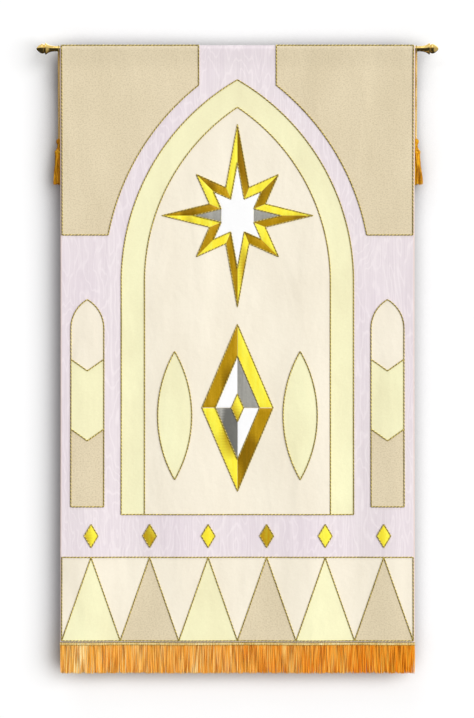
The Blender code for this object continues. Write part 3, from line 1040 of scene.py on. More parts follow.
def loop_faces(first, column_count, loop_count):
    """Quads between neighbouring closed loops of points."""
    column = np.arange(column_count - 1)[:, None] * loop_count + first
    place = np.arange(loop_count)[None, :]
    after = (place + 1) % loop_count
    return np.stack([
        column + place, column + after, column + loop_count + after, column + loop_count + place,
    ], -1).reshape(-1, 4)


def ground_cloth(sizes, colours):
    """The watered ground cloth with its hems and the pocket round the rod."""
    columns = ground_columns(sizes.grid_step)
    rows = ground_rows(sizes.grid_step)
    dips = edge_dip(columns[:, None], rows[None, :])
    front = front_place(columns[:, None], rows[None, ::-1], -dips[:, ::-1])
    outer, inner, pocket_downs = pocket_lines(columns)
    back = back_place(columns[:, None], rows[None, :], -dips)
    outside = np.concatenate([front, outer, back], axis=1)
    downs = np.concatenate([rows[::-1], pocket_downs, rows])

    stock = MeshStock()
    first = stock.add_points(outside)
    loop = outside.shape[1]
    places = np.stack(np.broadcast_arrays(columns[:, None], -downs[None, :]), -1).reshape(-1, 2)
    quads = loop_faces(first, len(columns), loop)
    stock.add_faces(quads, places[quads])

    inner_first = stock.add_points(inner)
    count = inner.shape[1]
    quads = loop_faces(inner_first, len(columns), count)
    inner_places = inner[..., [0, 2]].reshape(-1, 2)
    stock.add_faces(quads, inner_places[quads - inner_first])

    every = np.concatenate([places, inner_places])
    last_column = len(columns) - 1
    row_count = len(rows)
    for column in (0, last_column):
        out = first + column * loop
        into = inner_first + column * count
        ends = [(out + row, out + row + 1, out + loop - 2 - row, out + loop - 1 - row)
                for row in range(row_count - 1)]
        seam = out + row_count - 1
        around = [(seam + index, seam + index + 1, into + (index + 1) % count, into + index)
                  for index in range(count)]
        for face in ends + around:
            stock.add_faces([face], every[list(face)][None])
    material = moire_material("moire_cloth_weave", colours)
    return stock.build(
        "ground_cloth", material, "moire_cloth", ("banner_cloth",), CLOTH_MAP, sharp=50.0,
    )


def line(start, end):
    """Places from a start up to, but without, the end."""
    start = np.array(start, float)
    end = np.array(end, float)
    count = max(1, round(float(np.linalg.norm(end - start)) / OUTLINE_STEP))
    return start + (end - start) * (np.arange(count) / count)[:, None]


def arc(centre, radius, first, last):
    """Places round an arc from one angle up to, but without, another."""
    count = max(2, round(abs(last - first) * radius / OUTLINE_STEP))
    angles = first + (last - first) * np.arange(count) / count
    return np.stack([centre[0] + radius * np.cos(angles), centre[1] - radius * np.sin(angles)], 1)


def polygon(*corners):
    """Closed outline with straight sides."""
    return np.concatenate([line(a, b) for a, b in zip(corners, corners[1:] + corners[:1])])


def lancet(half, centre, spring, sill, middle=0.0):
    """Open path of a pointed arch, from its left foot over its apex to its right foot."""
    radius = half + centre
    lean = math.acos(centre / radius)
    path = np.concatenate([
        line((-half, sill), (-half, spring)),
        arc((centre, spring), radius, math.pi, math.pi - lean),
        arc((-centre, spring), radius, lean, 0.0),
        line((half, spring), (half, sill)),
        [(half, sill)],
    ])
    return path + (middle, 0.0)


def closed(path):
    """Closed outline from an open path."""
    return np.concatenate([path[:-1], line(path[-1], path[0])])


def leaf(middle, halves):
    """Closed outline of a pointed oval."""
    half_width, half_height = halves
    radius = (half_height**2 + half_width**2) / (2 * half_width)
    reach = radius - half_width
    bend = math.asin(half_height / radius)
    return np.concatenate([
        arc((-reach, 0.0), radius, -bend, bend),
        arc((reach, 0.0), radius, math.pi - bend, math.pi + bend),
    ]) + middle


def star_corners(middle, reaches, inner, share=1.0):
    """Corners of a star whose points have these reaches, in turn."""
    corners = []
    for index, reach in enumerate(reaches):
        for radius, angle in ((reach, index), (inner, index + 0.5)):
            turn = math.tau * angle / len(reaches)
            corners.append((
                middle[0] + share * radius * math.cos(turn),
                middle[1] - share * radius * math.sin(turn),
            ))
    return corners


def lozenge_corners(middle, halves, share=1.0):
    """Corners of an upright lozenge, from its left one over its top."""
    across, down = middle
    wide, tall = halves[0] * share, halves[1] * share
    return [(across - wide, down), (across, down - tall), (across + wide, down), (across, down + tall)]


def lozenge(middle, halves, share=1.0):
    """Closed outline of an upright lozenge."""
    return polygon(*lozenge_corners(middle, halves, share))


def mirrored(outline):
    """The same outline on the other side of the middle line."""
    return (outline * (-1.0, 1.0))[::-1]


def corner_panel():
    """Corner patch above the arch, with a hollow side that follows it."""
    radius = CORNER_ARCH + ARCH_HALF
    centre = (-ARCH_HALF, ARCH_SPRING)
    low = math.asin((ARCH_SPRING - CORNER_FOOT) / radius)
    high = math.acos((CORNER_END + ARCH_HALF) / radius)
    bow = arc(centre, radius, high, low)
    inner_foot = (centre[0] + radius * math.cos(low), CORNER_FOOT)
    return np.concatenate([
        line((CORNER_END, PANEL_TOP), bow[0]),
        bow,
        line(inner_foot, (PANEL_EDGE, CORNER_FOOT)),
        line((PANEL_EDGE, CORNER_FOOT), (PANEL_EDGE, PANEL_TOP)),
        line((PANEL_EDGE, PANEL_TOP), (CORNER_END, PANEL_TOP)),
    ])


def chevron(down):
    """A shallow pointed line across a side light, from its left to its right edge."""
    left, right = LIGHT_MIDDLE - LIGHT_HALF, LIGHT_MIDDLE + LIGHT_HALF
    return [(left, down), (LIGHT_MIDDLE, down + CHEVRON_DROP), (right, down)]


def side_light():
    """Three patches of a narrow pointed side light, from its head down."""
    high, low = LIGHT_CHEVRONS
    left, right = LIGHT_MIDDLE - LIGHT_HALF, LIGHT_MIDDLE + LIGHT_HALF
    head = lancet(LIGHT_HALF, LIGHT_HALF, LIGHT_SPRING, high - HAIRLINE, LIGHT_MIDDLE)
    tip = (LIGHT_MIDDLE, high + CHEVRON_DROP - HAIRLINE)
    head = np.concatenate([head[:-1], line(head[-1], tip), line(tip, head[0])])
    middle = polygon(*shifted(chevron(high), HAIRLINE), *reversed(shifted(chevron(low), -HAIRLINE)))
    foot = polygon(*shifted(chevron(low), HAIRLINE), (right, LIGHT_SILL), (left, LIGHT_SILL))
    return head, middle, foot


def shifted(corners, down):
    """Corners moved down the cloth."""
    return [(corner[0], corner[1] + down) for corner in corners]


def frieze_triangles():
    """Standing and hanging triangles of the frieze, as two lists of corners."""
    pitch = 2 * PANEL_EDGE / FRIEZE_COUNT
    starts = [-PANEL_EDGE + pitch * index for index in range(FRIEZE_COUNT)]
    standing = [
        ((x, PANEL_FOOT), (x + pitch, PANEL_FOOT), (x + pitch / 2, FRIEZE_TOP)) for x in starts
    ]
    hanging = [
        ((x + pitch / 2, FRIEZE_TOP), (x + 3 * pitch / 2, FRIEZE_TOP), (x + pitch, PANEL_FOOT))
        for x in starts[:-1]
    ]
    for edge in (-PANEL_EDGE, PANEL_EDGE):
        inward = -math.copysign(pitch / 2, edge)
        hanging.append(((edge, FRIEZE_TOP), (edge + inward, FRIEZE_TOP), (edge, PANEL_FOOT)))
    return standing, hanging


def drawn_in(corners):
    """Closed outline of corners moved a hair's breadth towards their middle."""
    middle = np.mean(corners, axis=0)
    share = 1.0 - 2.5 * HAIRLINE / float(np.linalg.norm(np.array(corners[0]) - middle))
    return polygon(*[tuple(middle + (np.array(corner) - middle) * share) for corner in corners])


def inside(points, outline):
    """Whether each place lies inside a closed outline."""
    start, end = outline, np.roll(outline, -1, axis=0)
    x, y = points[:, 0:1], points[:, 1:2]
    rise = end[:, 1] - start[:, 1]
    rise = np.where(np.abs(rise) < 1e-12, 1e-12, rise)
    crossing = start[:, 0] + (y - start[:, 1]) / rise * (end[:, 0] - start[:, 0])
    spans = (start[:, 1] > y) != (end[:, 1] > y)
    return (np.sum(spans & (x < crossing), axis=1) % 2).astype(bool)


def edge_distance(points, outline):
    """Shortest distance from each place to a closed outline."""
    start = outline[None]
    span = np.roll(outline, -1, axis=0)[None] - start
    away = points[:, None, :] - start
    share = np.clip(np.sum(away * span, -1) / np.maximum(np.sum(span**2, -1), 1e-14), 0.0, 1.0)
    return np.sqrt(np.min(np.sum((away - share[..., None] * span) ** 2, -1), axis=1))


def inner_points(outline, step, insets):
    """Grid places inside an outline, and rows of places at fixed distances from its edge."""
    low, high = outline.min(0), outline.max(0)
    columns = np.arange(low[0] + step / 2, high[0], step)
    rows = np.arange(low[1] + step / 2, high[1], step * 0.866)
    grid = np.stack(np.meshgrid(columns, rows), -1)
    grid[1::2, :, 0] += step / 2
    grid = grid.reshape(-1, 2)
    grid = grid[inside(grid, outline)]
    clear = max(insets[-1] if insets else 0.0, 0.0) + step * 0.55
    kept = [grid[edge_distance(grid, outline) > clear]] if len(grid) else []
    ahead = np.roll(outline, -1, axis=0) - np.roll(outline, 1, axis=0)
    sideways = np.stack([-ahead[:, 1], ahead[:, 0]], 1)
    sideways /= np.maximum(np.linalg.norm(sideways, axis=1, keepdims=True), 1e-9)
    probe = outline + sideways * 1e-4
    if np.mean(inside(probe, outline)) < 0.5:
        sideways = -sideways
    for inset in insets:
        row = outline + sideways * inset
        row = row[inside(row, outline)]
        if len(row):
            kept.append(row[edge_distance(row, outline) > inset * 0.96])
    return np.concatenate(kept) if kept else np.zeros((0, 2))


def split_at_bend(outline):
    """The outline with more places where it bends over the rod pocket."""
    made = []
    for start, end in zip(outline, np.roll(outline, -1, axis=0)):
        climb = abs(end[1] - start[1]) if min(start[1], end[1]) < BEND_FOOT else 0.0
        count = max(1, math.ceil(climb / BEND_STEP))
        made.append(start + (end - start) * (np.arange(count) / count)[:, None])
    return np.concatenate(made)


def bend_points(outline, step):
    """Rows of places, close together, where a patch bends over the rod pocket."""
    low, high = outline.min(0), outline.max(0)
    if low[1] > BEND_FOOT:
        return np.zeros((0, 2))
    columns = np.arange(low[0] + step / 2, high[0], step)
    rows = np.arange(low[1] + BEND_STEP, BEND_FOOT, BEND_STEP)
    grid = np.stack(np.meshgrid(columns, rows), -1).reshape(-1, 2)
    return grid[inside(grid, outline)]


def add_patch(stock, outline, layer, step):
    """Add one cut patch as a thin closed piece that lies on the cloth's front."""
    bottom, top, puff = layer
    insets = PUFF_INSETS if puff else ()
    outline = split_at_bend(outline)
    extra = inner_points(outline, step, insets)
    bend = bend_points(outline, step)
    if len(bend):
        extra = np.concatenate([extra[extra[:, 1] > BEND_FOOT + BEND_STEP], bend])
    places = np.concatenate([outline, extra])
    made = delaunay_2d_cdt(
        [Vector(place) for place in places], [], [list(range(len(outline)))], 1, 1e-6,
    )
    places = np.array([tuple(place) for place in made[0]])
    faces = np.array([face for face in made[2] if len(face) == 3])
    lift = np.full(len(places), top)
    if puff:
        rise = np.clip(edge_distance(places, outline) / PUFF_WIDTH, 0.0, 1.0)
        lift += puff * (1.0 - (1.0 - rise) ** 2)
    upper = stock.add_points(front_place(places[:, 0], places[:, 1], lift))
    lower = stock.add_points(front_place(places[:, 0], places[:, 1], bottom))
    maps = places * (1.0, -1.0)
    stock.add_faces(faces + upper, maps[faces])
    stock.add_faces(faces[:, ::-1] + lower, maps[faces[:, ::-1]])
    sides = {}
    for face in faces:
        for start, end in zip(face, np.roll(face, -1)):
            if (end, start) in sides:
                del sides[(end, start)]
            else:
                sides[(start, end)] = True
    rim = np.array(list(sides))
    quads = np.stack([rim[:, 1], rim[:, 0], rim[:, 0], rim[:, 1]], 1)
    offsets = np.array((upper, upper, lower, lower))
    stock.add_faces(quads + offsets, maps[quads])


def patch_piece(name, outlines, layer, step, material, slot):
    """One piece of all the patches of a cloth that belong together."""
    stock = MeshStock()
    for outline in outlines:
        add_patch(stock, outline, layer, step)
    return stock.build(name, material, slot, (), CLOTH_MAP, sharp=45.0)


def couch(name, paths, radius, material):
    """Couched cord along open or closed outlines: (path, is closed, height) each."""
    stock = MeshStock()
    section = lobed_section(6, 2, COUCHING_VALLEY)
    for path, is_closed, height in paths:
        route = np.concatenate([path, path[:1]]) if is_closed else path
        route = evenly(route, COUCHING_STEP)
        centre = front_place(route[:, 0], route[:, 1], height)
        over = front_place(route[:, 0], route[:, 1], height + 0.001) - centre
        sweep(stock, centre, over, section, radius, 1.0 / COUCHING_LAY)
    return stock.build(name, material, "gold_cord", sharp=80.0)


class BANNER_OT_stage(bpy.types.Operator):
    """Set the camera, the lights, the pale floor and the backdrop"""

    bl_idname = "banner.stage"
    bl_label = "Stage"

    def execute(self, context):
        build_camera(context.scene)
        build_lights(context.scene)
        build_backdrop()
        return {"FINISHED"}


def build_camera(scene):
    """A long lens straight in front of the banner."""
    data = bpy.data.cameras.new("front_camera")
    data.sensor_fit = "VERTICAL"
    data.sensor_height = SENSOR
    data.lens = SENSOR * CAMERA_DISTANCE / FRAME_HEIGHT
    data.clip_end = 60.0
    camera = bpy.data.objects.new("front_camera", data)
    camera.location = (CAMERA_MIDDLE[0], -CAMERA_DISTANCE, CAMERA_MIDDLE[1])
    camera.rotation_euler = (math.radians(90.0), 0.0, 0.0)
    scene.collection.objects.link(camera)
    scene.camera = camera


def add_sun(name, strength, width, azimuth, elevation, in_gloss):
    """A wide soft light that shines from an azimuth, with 0 in front, and an elevation."""
    data = bpy.data.lights.new(name, "SUN")
    data.energy = strength
    data.angle = math.radians(width)
    lamp = bpy.data.objects.new(name, data)
    turn, rise = math.radians(azimuth), math.radians(elevation)
    level = math.cos(rise)
    toward = Vector((math.sin(turn) * level, -math.cos(turn) * level, math.sin(rise)))
    lamp.rotation_mode = "QUATERNION"
    lamp.rotation_quaternion = toward.to_track_quat("Z", "Y")
    lamp.visible_glossy = in_gloss
    bpy.context.scene.collection.objects.link(lamp)


def build_lights(scene):
    """A wide key light from the right, a top light and a fill behind."""
    for sun in SUNS:
        add_sun(*sun)
    build_surround(scene)
    scene.view_settings.view_transform = "Standard"


def build_surround(scene):
    """A dim room with a bright ceiling and one bright side, and a pale surround for the camera."""
    world = bpy.data.worlds.new("studio_surround")
    scene.world = world
    world.use_nodes = True
    graph = Graph(world.node_tree)
    way = graph.parts(graph.node("TexCoord").outputs["Generated"])
    room = graph.remap(way[2], -0.6, 0.7, 0.20, 0.34)
    ceiling = graph.remap(way[2], 0.20, 0.42, 0.0, 0.95)
    side = graph.remap(way[0], 0.50, 0.72, 0.0, 0.6)
    gloss = graph.plus(graph.math("MAXIMUM", ceiling, side), 0.05)
    rays = graph.node("LightPath").outputs
    lit = graph.remap(rays["Is Glossy Ray"], 0.0, 1.0, room, gloss)
    graph.feed_all(world.node_tree.nodes["Background"].inputs, {
        "Color": WHITE,
        "Strength": graph.remap(rays["Is Camera Ray"], 0.0, 1.0, lit, 0.86),
    })


def stage_plane(name, corners, colour, glow, is_wall):
    """A flat stage piece with a faint mottle, which casts no shadow and sends no light back.

    The wall carries painted shade where the banner is close, and is clear when seen from behind.
    """
    mesh = bpy.data.meshes.new(name)
    mesh.from_pydata(corners, [], [(0, 1, 2, 3)])
    piece = bpy.data.objects.new(name, mesh)
    bpy.context.scene.collection.objects.link(piece)
    piece.visible_shadow = False
    piece.visible_diffuse = False
    piece.visible_glossy = False
    material, graph, shader = plain_material(name + "_paint")
    mottle = graph.noise(graph.node("TexCoord").outputs["Object"], 3.0)
    paint = graph.mix(mottle, opaque(colour), opaque(colour, 0.985))
    if is_wall:
        # Painted shade: ambient occlusion darkens the wall's colour where the banner is close.
        nearness = graph.node("AmbientOcclusion", samples=16)
        graph.feed(nearness.inputs["Distance"], CONTACT_REACH)
        painted_contact_shade = graph.remap(nearness.outputs["AO"], *CONTACT_RANGE)
        paint = graph.mix(1.0, paint, painted_contact_shade, "MULTIPLY")
        mixer = graph.node("MixShader")
        graph.feed(mixer.inputs[0], graph.node("NewGeometry").outputs["Backfacing"])
        graph.feed(mixer.inputs[1], shader.outputs[0])
        graph.feed(mixer.inputs[2], graph.node("BsdfTransparent").outputs[0])
        output = material.node_tree.nodes["Material Output"]
        graph.feed(output.inputs["Surface"], mixer.outputs[0])
    graph.feed_all(shader.inputs, {
        "Base Color": paint,
        "Roughness": 0.9,
        "Specular IOR Level": 0.0,
        "Emission Color": WHITE,
        "Emission Strength": glow,
    })
    mesh.materials.append(material)


def build_backdrop():
    """A white wall close behind the banner, seen only from the front, and a pale floor."""
    wall = [(x, WALL_BEHIND, z) for x, z in (
        (-WALL_HALF, FLOOR_LEVEL), (WALL_HALF, FLOOR_LEVEL),
        (WALL_HALF, WALL_TOP), (-WALL_HALF, WALL_TOP),
    )]
    floor = [(x * FLOOR_REACH, y * FLOOR_REACH, FLOOR_LEVEL)
             for x, y in ((-1, -1), (1, -1), (1, 1), (-1, 1))]
    stage_plane("backdrop_wall", wall, WALL_COLOUR, 0.0, True)
    stage_plane("studio_floor", floor, FLOOR_COLOUR, FLOOR_GLOW, False)


class BANNER_OT_tassels(bpy.types.Operator):
    """Hang the two tassels on their laid cords from loops round the rod"""

    bl_idname = "banner.tassels"
    bl_label = "Tassels and cords"

    def execute(self, context):
        sizes, colours = context.scene.banner_sizes, context.scene.banner_colours
        for word, side in (("left", -1), ("right", 1)):
            tassel = build_tassel(word, side, sizes, colours)
            build_loop(word, side, colours)
            build_cord(word, side, colours)
        return {"FINISHED"}


def wound_turns(stock, centre, outline, wire, pitch):
    """Thread wound closely round an upright turned outline of (distance below, radius)."""
    low, high = outline[0][0], outline[-1][0]
    turns = (high - low) / pitch
    steps = int(turns * 26)
    below = np.linspace(low, high, steps + 1)
    radius = np.interp(below, [row[0] for row in outline], [row[1] for row in outline])
    angle = math.tau * turns * np.linspace(0.0, 1.0, steps + 1)
    path = np.stack([
        centre[0] + radius * np.cos(angle), centre[1] + radius * np.sin(angle), centre[2] - below,
    ], 1)
    sweep(stock, path, UPRIGHT, lobed_section(5, 1, 1.0), wire)


def tassel_skirt(stock, axis, radius, seed):
    """Strands that hang from the tassel's head in rings and spread to uneven ends."""
    draws = np.random.default_rng(seed)
    section = lobed_section(4, 2, 0.62)
    shares = np.linspace(0.0, 1.0, SKIRT_POINTS)
    spreading = ease(shares, 0.0, 1.0)
    widths = radius * (1.0 - 0.55 * ease(shares, TAPER_START, 1.0))
    for ring_radius, count in SKIRT_RINGS:
        for index in range(count):
            angle = math.tau * (index + 0.4 * draws.random()) / count
            uneven = 1.0 + 0.22 * math.sin(3.0 * angle + 1.1) + 0.16 * draws.normal()
            reach = ring_radius * (1.0 + (SKIRT_SPREAD - 1.0) * uneven * spreading)
            reach += 0.0005 * np.sin(
                shares * (7.0 + 5.0 * draws.random()) + math.tau * draws.random())
            swing = angle + 0.10 * draws.normal() * shares + 0.10 * draws.normal() * shares
            length = SKIRT_END - SKIRT_ROOT - 0.0012 + 0.0014 * math.sin(5.0 * angle + 0.6)
            length += 0.0012 * draws.normal()
            path = np.stack([
                axis[0] + reach * np.cos(swing),
                axis[1] + reach * np.sin(swing),
                axis[2] - SKIRT_ROOT + 0.002 - (length + 0.002) * shares,
            ], 1)
            start = math.tau * draws.random()
            sweep(stock, path, (0.0, 1.0, 0.0), section, widths, SKIRT_TWIST, start)


def build_tassel(word, side, sizes, colours):
    """A wound knot, a flared neck, a bound head and a skirt of twisted strands."""
    axis = (side * TASSEL_ACROSS, TASSEL_BEHIND, -TASSEL_TOP)
    stock = MeshStock()
    outline = smooth_line(TASSEL_OUTLINE, 3)
    body = np.stack([-outline[:, 0], outline[:, 1] * 0.93], 1)
    turn_profile(stock, body, axis, UPRIGHT, 32)
    for rows, wire, pitch in TASSEL_WINDINGS:
        wound_turns(stock, axis, rows, wire, pitch)
    neck = smooth_line(NECK_OUTLINE, 4)
    below, radius = neck[:, 0], neck[:, 1] * 0.97
    widths = 0.00052 + 0.0005 * ramp(below, 0.018, 0.033)
    for index in range(NECK_STRANDS):
        angle = math.tau * index / NECK_STRANDS + below * NECK_LEAN
        path = np.stack([
            axis[0] + radius * np.cos(angle), axis[1] + radius * np.sin(angle), axis[2] - below,
        ], 1)
        sweep(stock, path, (0.0, 1.0, 0.001), lobed_section(4, 2, 0.7), widths, NECK_TWIST)
    tassel_skirt(stock, axis, sizes.tassel_radius, SKIRT_SEED + side)
    material = yarn_material(
        "tassel_yarn_spun", colours.tassel, (0.24, 0.085, 0.002), (1.0, 0.66, 0.03), 150.0)
    return stock.build(
        "tassel_%s_yarn" % word, material, "tassel_yarn", ("tassel_" + word,), sharp=80.0)


def build_loop(word, side, colours):
    """A fine twisted loop round the rod, bound behind it."""
    stock = MeshStock()
    middle = ROD_RADIUS + GAP + LOOP_RADIUS
    turns = np.linspace(LOOP_OPENING, math.tau - LOOP_OPENING, 120)
    path = np.stack([
        np.full_like(turns, side * TASSEL_ACROSS), middle * np.cos(turns), middle * np.sin(turns),
    ], 1)
    outward = path * (0.0, 1.0, 1.0)
    sweep(stock, path, outward, lobed_section(8, 2, 0.72), LOOP_RADIUS, LOOP_TWIST)
    centre = (side * TASSEL_ACROSS, BINDING_BEHIND, BINDING_TOP)
    height = BINDING_TOP - BINDING_BOTTOM
    wire = BINDING_WIRE
    core = BINDING_RADIUS - wire
    profile = ((0.0, core * 0.6), (-wire, core), (-height + wire, core), (-height, core * 0.6))
    turn_profile(stock, profile, centre, UPRIGHT, 24)
    wound = ((wire, core + 0.0001), (height - wire, core + 0.0001))
    wound_turns(stock, centre, wound, wire, BINDING_PITCH)
    material = cord_material("gold_cord_two_ply", colours)
    return stock.build(
        "cord_loop_%s_bound" % word, material, "gold_cord", ("cord_loop_" + word,), sharp=80.0)


def build_cord(word, side, colours):
    """The laid cord between a loop and its tassel."""
    route = smooth_line(CORD_ROUTE, 12)
    points = evenly(np.stack([
        np.full(len(route), side * TASSEL_ACROSS), route[:, 0], -route[:, 1],
    ], 1), CORD_STEP)
    stock = MeshStock()
    section = lobed_section(18, 3, CORD_VALLEY)
    sweep(stock, points, (1.0, 0.0, 0.0), section, CORD_RADIUS, side / CORD_LAY)
    material = yarn_material(
        "tassel_cord_laid", colours.tassel_cord, (0.36, 0.19, 0.04), (0.98, 0.80, 0.42), 210.0, 3.0)
    cord = stock.build(
        "tassel_cord_%s_laid" % word, material, "gold_cord", ("tassel_cord_" + word,), sharp=80.0)


class BANNER_OT_rod(bpy.types.Operator):
    """Turn the brass rod and its two acorn finials"""

    bl_idname = "banner.rod"
    bl_label = "Rod and finials"

    def execute(self, context):
        material = brass_material("brass_polished", context.scene.banner_colours)
        stock = MeshStock()
        profile = ((-ROD_END, ROD_RADIUS - ROD_BEVEL), (-ROD_END + ROD_BEVEL, ROD_RADIUS),
                   (ROD_END - ROD_BEVEL, ROD_RADIUS), (ROD_END, ROD_RADIUS - ROD_BEVEL))
        turn_profile(stock, profile, (0.0, 0.0, 0.0), (1.0, 0.0, 0.0), TURNED_SIDES)
        stock.build("brass_rod", material, "brass", ("rod",), sharp=35.0)
        outline = smooth_line(FINIAL_OUTLINE, 5)
        for word, side in (("left", -1), ("right", 1)):
            stock = MeshStock()
            start = (side * (ROD_END + GAP), 0.0, 0.0)
            turn_profile(stock, outline, start, (side, 0.0, 0.0), TURNED_SIDES)
            stock.build("brass_finial_" + word, material, "brass", ("finial_" + word,), sharp=50.0)
        return {"FINISHED"}


class BANNER_OT_patches(bpy.types.Operator):
    """Cut the satin and brocade patches and lay them on the ground cloth"""

    bl_idname = "banner.patches"
    bl_label = "Satin and brocade patches"

    def execute(self, context):
        build_patches(context.scene.banner_sizes, context.scene.banner_colours)
        return {"FINISHED"}


def satin_materials(colours):
    """Materials of the flat patches, by cloth."""
    deep_gold, deep_silver = (0.42, 0.21, 0.0), (0.22, 0.22, 0.20)
    return {
        "cream_satin": cloth_material(
            "cream_satin_weave", colours.cream, (0.85, 0.775, 0.63), 0.85, 1100.0, 0.0040, 0.1),
        "beige_brocade": cloth_material(
            "beige_brocade_weave", colours.beige, (0.64, 0.54, 0.36), 0.42, 800.0, 0.0030, 0.1, 0.70),
        "pale_yellow_satin": cloth_material(
            "pale_yellow_weave", colours.yellow, (0.84, 0.79, 0.50), 0.95, 1100.0, 0.0034, 0.1),
        "white_satin": cloth_material(
            "white_satin_weave", colours.white, (0.90, 0.90, 0.90), 0.25, 1100.0, 0.0014, 0.1),
        "gold_lame": lame_material(
            "gold_lame_weave", colours.gold, (1.0, 0.82, 0.03), (0.56, 0.29, 0.0), 0.06, 0.38, 0.35),
        # Painted shade: the dark gold lame and the silver lame stand for the gold lame and the white
        # satin in shade.
        "dark_gold_lame": lame_material(
            "gold_lame_cross", colours.painted_shade_gold, (0.60, 0.33, 0.0), deep_gold, 0.40, 0.34, 0.75),
        "silver_lame": lame_material(
            "silver_lame_weave", colours.silver, (0.42, 0.41, 0.37), deep_silver, 0.40, 0.36, 0.5),
    }


def flat_patches():
    """Flat patches as (name, cloth, outlines, layer)."""
    outer = lancet(ARCH_HALF, ARCH_HALF, ARCH_SPRING, ARCH_SILL)
    inner_half = ARCH_HALF - BAND_WIDTH
    inner = lancet(inner_half + HAIRLINE, ARCH_HALF, ARCH_SPRING, ARCH_SILL)
    field = lancet(inner_half - HAIRLINE, ARCH_HALF, ARCH_SPRING, ARCH_SILL)
    band = np.concatenate([
        outer[:-1], line(outer[-1], inner[-1]), inner[::-1][:-1], line(inner[0], outer[0]),
    ])
    corner = corner_panel()
    head, middle, foot = side_light()
    blade = leaf((LEAF_ACROSS, LEAF_DOWN), LEAF_HALVES)
    standing, hanging = frieze_triangles()
    yellow_teeth = [drawn_in(corners) for corners in standing[0::2]]
    beige_teeth = [drawn_in(corners) for corners in standing[1::2]]
    return (
        ("patch_arch_band", "pale_yellow_satin", [band], LAYER_BASE),
        ("patch_arch_field", "cream_satin", [closed(field)], LAYER_BASE),
        ("patch_corner_panels", "beige_brocade", [corner, mirrored(corner)], LAYER_BASE),
        ("patch_light_heads", "cream_satin", [head, mirrored(head)], LAYER_BASE),
        ("patch_light_middles", "pale_yellow_satin", [middle, mirrored(middle)], LAYER_BASE),
        ("patch_light_feet", "beige_brocade", [foot, mirrored(foot)], LAYER_BASE),
        ("patch_leaves", "pale_yellow_satin", [blade, mirrored(blade)], LAYER_SECOND),
        ("patch_frieze_yellow", "pale_yellow_satin", yellow_teeth, LAYER_BASE),
        ("patch_frieze_beige", "beige_brocade", beige_teeth, LAYER_BASE),
        ("patch_frieze_cream", "cream_satin", [drawn_in(corners) for corners in hanging], LAYER_BASE),
    )


def drop_places():
    """Middles of the small lozenges between the arch and the frieze."""
    pitch = 2 * PANEL_EDGE / FRIEZE_COUNT
    return [(-PANEL_EDGE + pitch * (index + 0.5), DROP_DOWN) for index in range(FRIEZE_COUNT)]


def facets(outer_corners, middle):
    """Triangles from the middle to each side of an outline, as two alternating lists."""
    ends = outer_corners[1:] + outer_corners[:1]
    made = [drawn_in((middle, start, end)) for start, end in zip(outer_corners, ends)]
    return made[0::2], made[1::2]


def core_star():
    """The star's core without its two side points, and those points by themselves."""
    corners = star_corners(STAR_MIDDLE, STAR_REACHES, STAR_INNER, STAR_CORE)
    half = len(corners) // 2
    body = [corner for index, corner in enumerate(corners) if index % half]
    points = [drawn_in((corners[start - 1], corners[start], corners[start + 1])) for start in (0, half)]
    return polygon(*body), points


def shiny_patches():
    """Padded patches as (name, material, outlines, layer)."""
    # Painted shade: the dark gold facets and the silver facets and points are shaded copies of the
    # bright gold and white beside them.
    star_bright, star_dark = facets(star_corners(STAR_MIDDLE, STAR_REACHES, STAR_INNER), STAR_MIDDLE)
    pendant_dark, pendant_bright = facets(
        lozenge_corners(PENDANT_MIDDLE, PENDANT_HALVES), PENDANT_MIDDLE)
    core_white, core_silver = facets(
        lozenge_corners(PENDANT_MIDDLE, PENDANT_HALVES, PENDANT_CORE), PENDANT_MIDDLE)
    body, points = core_star()
    drops = [lozenge(place, DROP_HALVES) for place in drop_places()]
    return (
        ("patch_star_bright", "gold_lame", star_bright, LAYER_LAME),
        ("patch_star_dark", "dark_gold_lame", star_dark, LAYER_LAME),
        ("patch_pendant_bright", "gold_lame", pendant_bright, LAYER_LAME),
        ("patch_pendant_dark", "dark_gold_lame", pendant_dark, LAYER_LAME),
        ("patch_drops", "gold_lame", drops, LAYER_LAME),
        ("patch_star_core", "white_satin", [body], LAYER_CORE),
        ("patch_star_points", "silver_lame", points, LAYER_CORE),
        ("patch_pendant_core", "white_satin", core_white, LAYER_CORE),
        ("patch_pendant_shade", "silver_lame", core_silver, LAYER_CORE),
        ("patch_pendant_heart", "gold_lame", [lozenge(PENDANT_MIDDLE, HEART_HALVES)], LAYER_TOP),
    )


def build_patches(sizes, colours):
    """All the patches, flat ones first."""
    materials = satin_materials(colours)
    for name, cloth, outlines, layer in flat_patches():
        patch_piece(name, outlines, layer, sizes.patch_step, materials[cloth], cloth)
    for name, cloth, outlines, layer in shiny_patches():
        slot = cloth.replace("dark_", "")
        patch_piece(name, outlines, layer, sizes.patch_step * 0.7, materials[cloth], slot)


class BANNER_OT_couching(bpy.types.Operator):
    """Sew the gold cord along the border and along every patch"""

    bl_idname = "banner.couching"
    bl_label = "Couched cord"

    def execute(self, context):
        build_couching(context.scene.banner_sizes, context.scene.banner_colours)
        return {"FINISHED"}


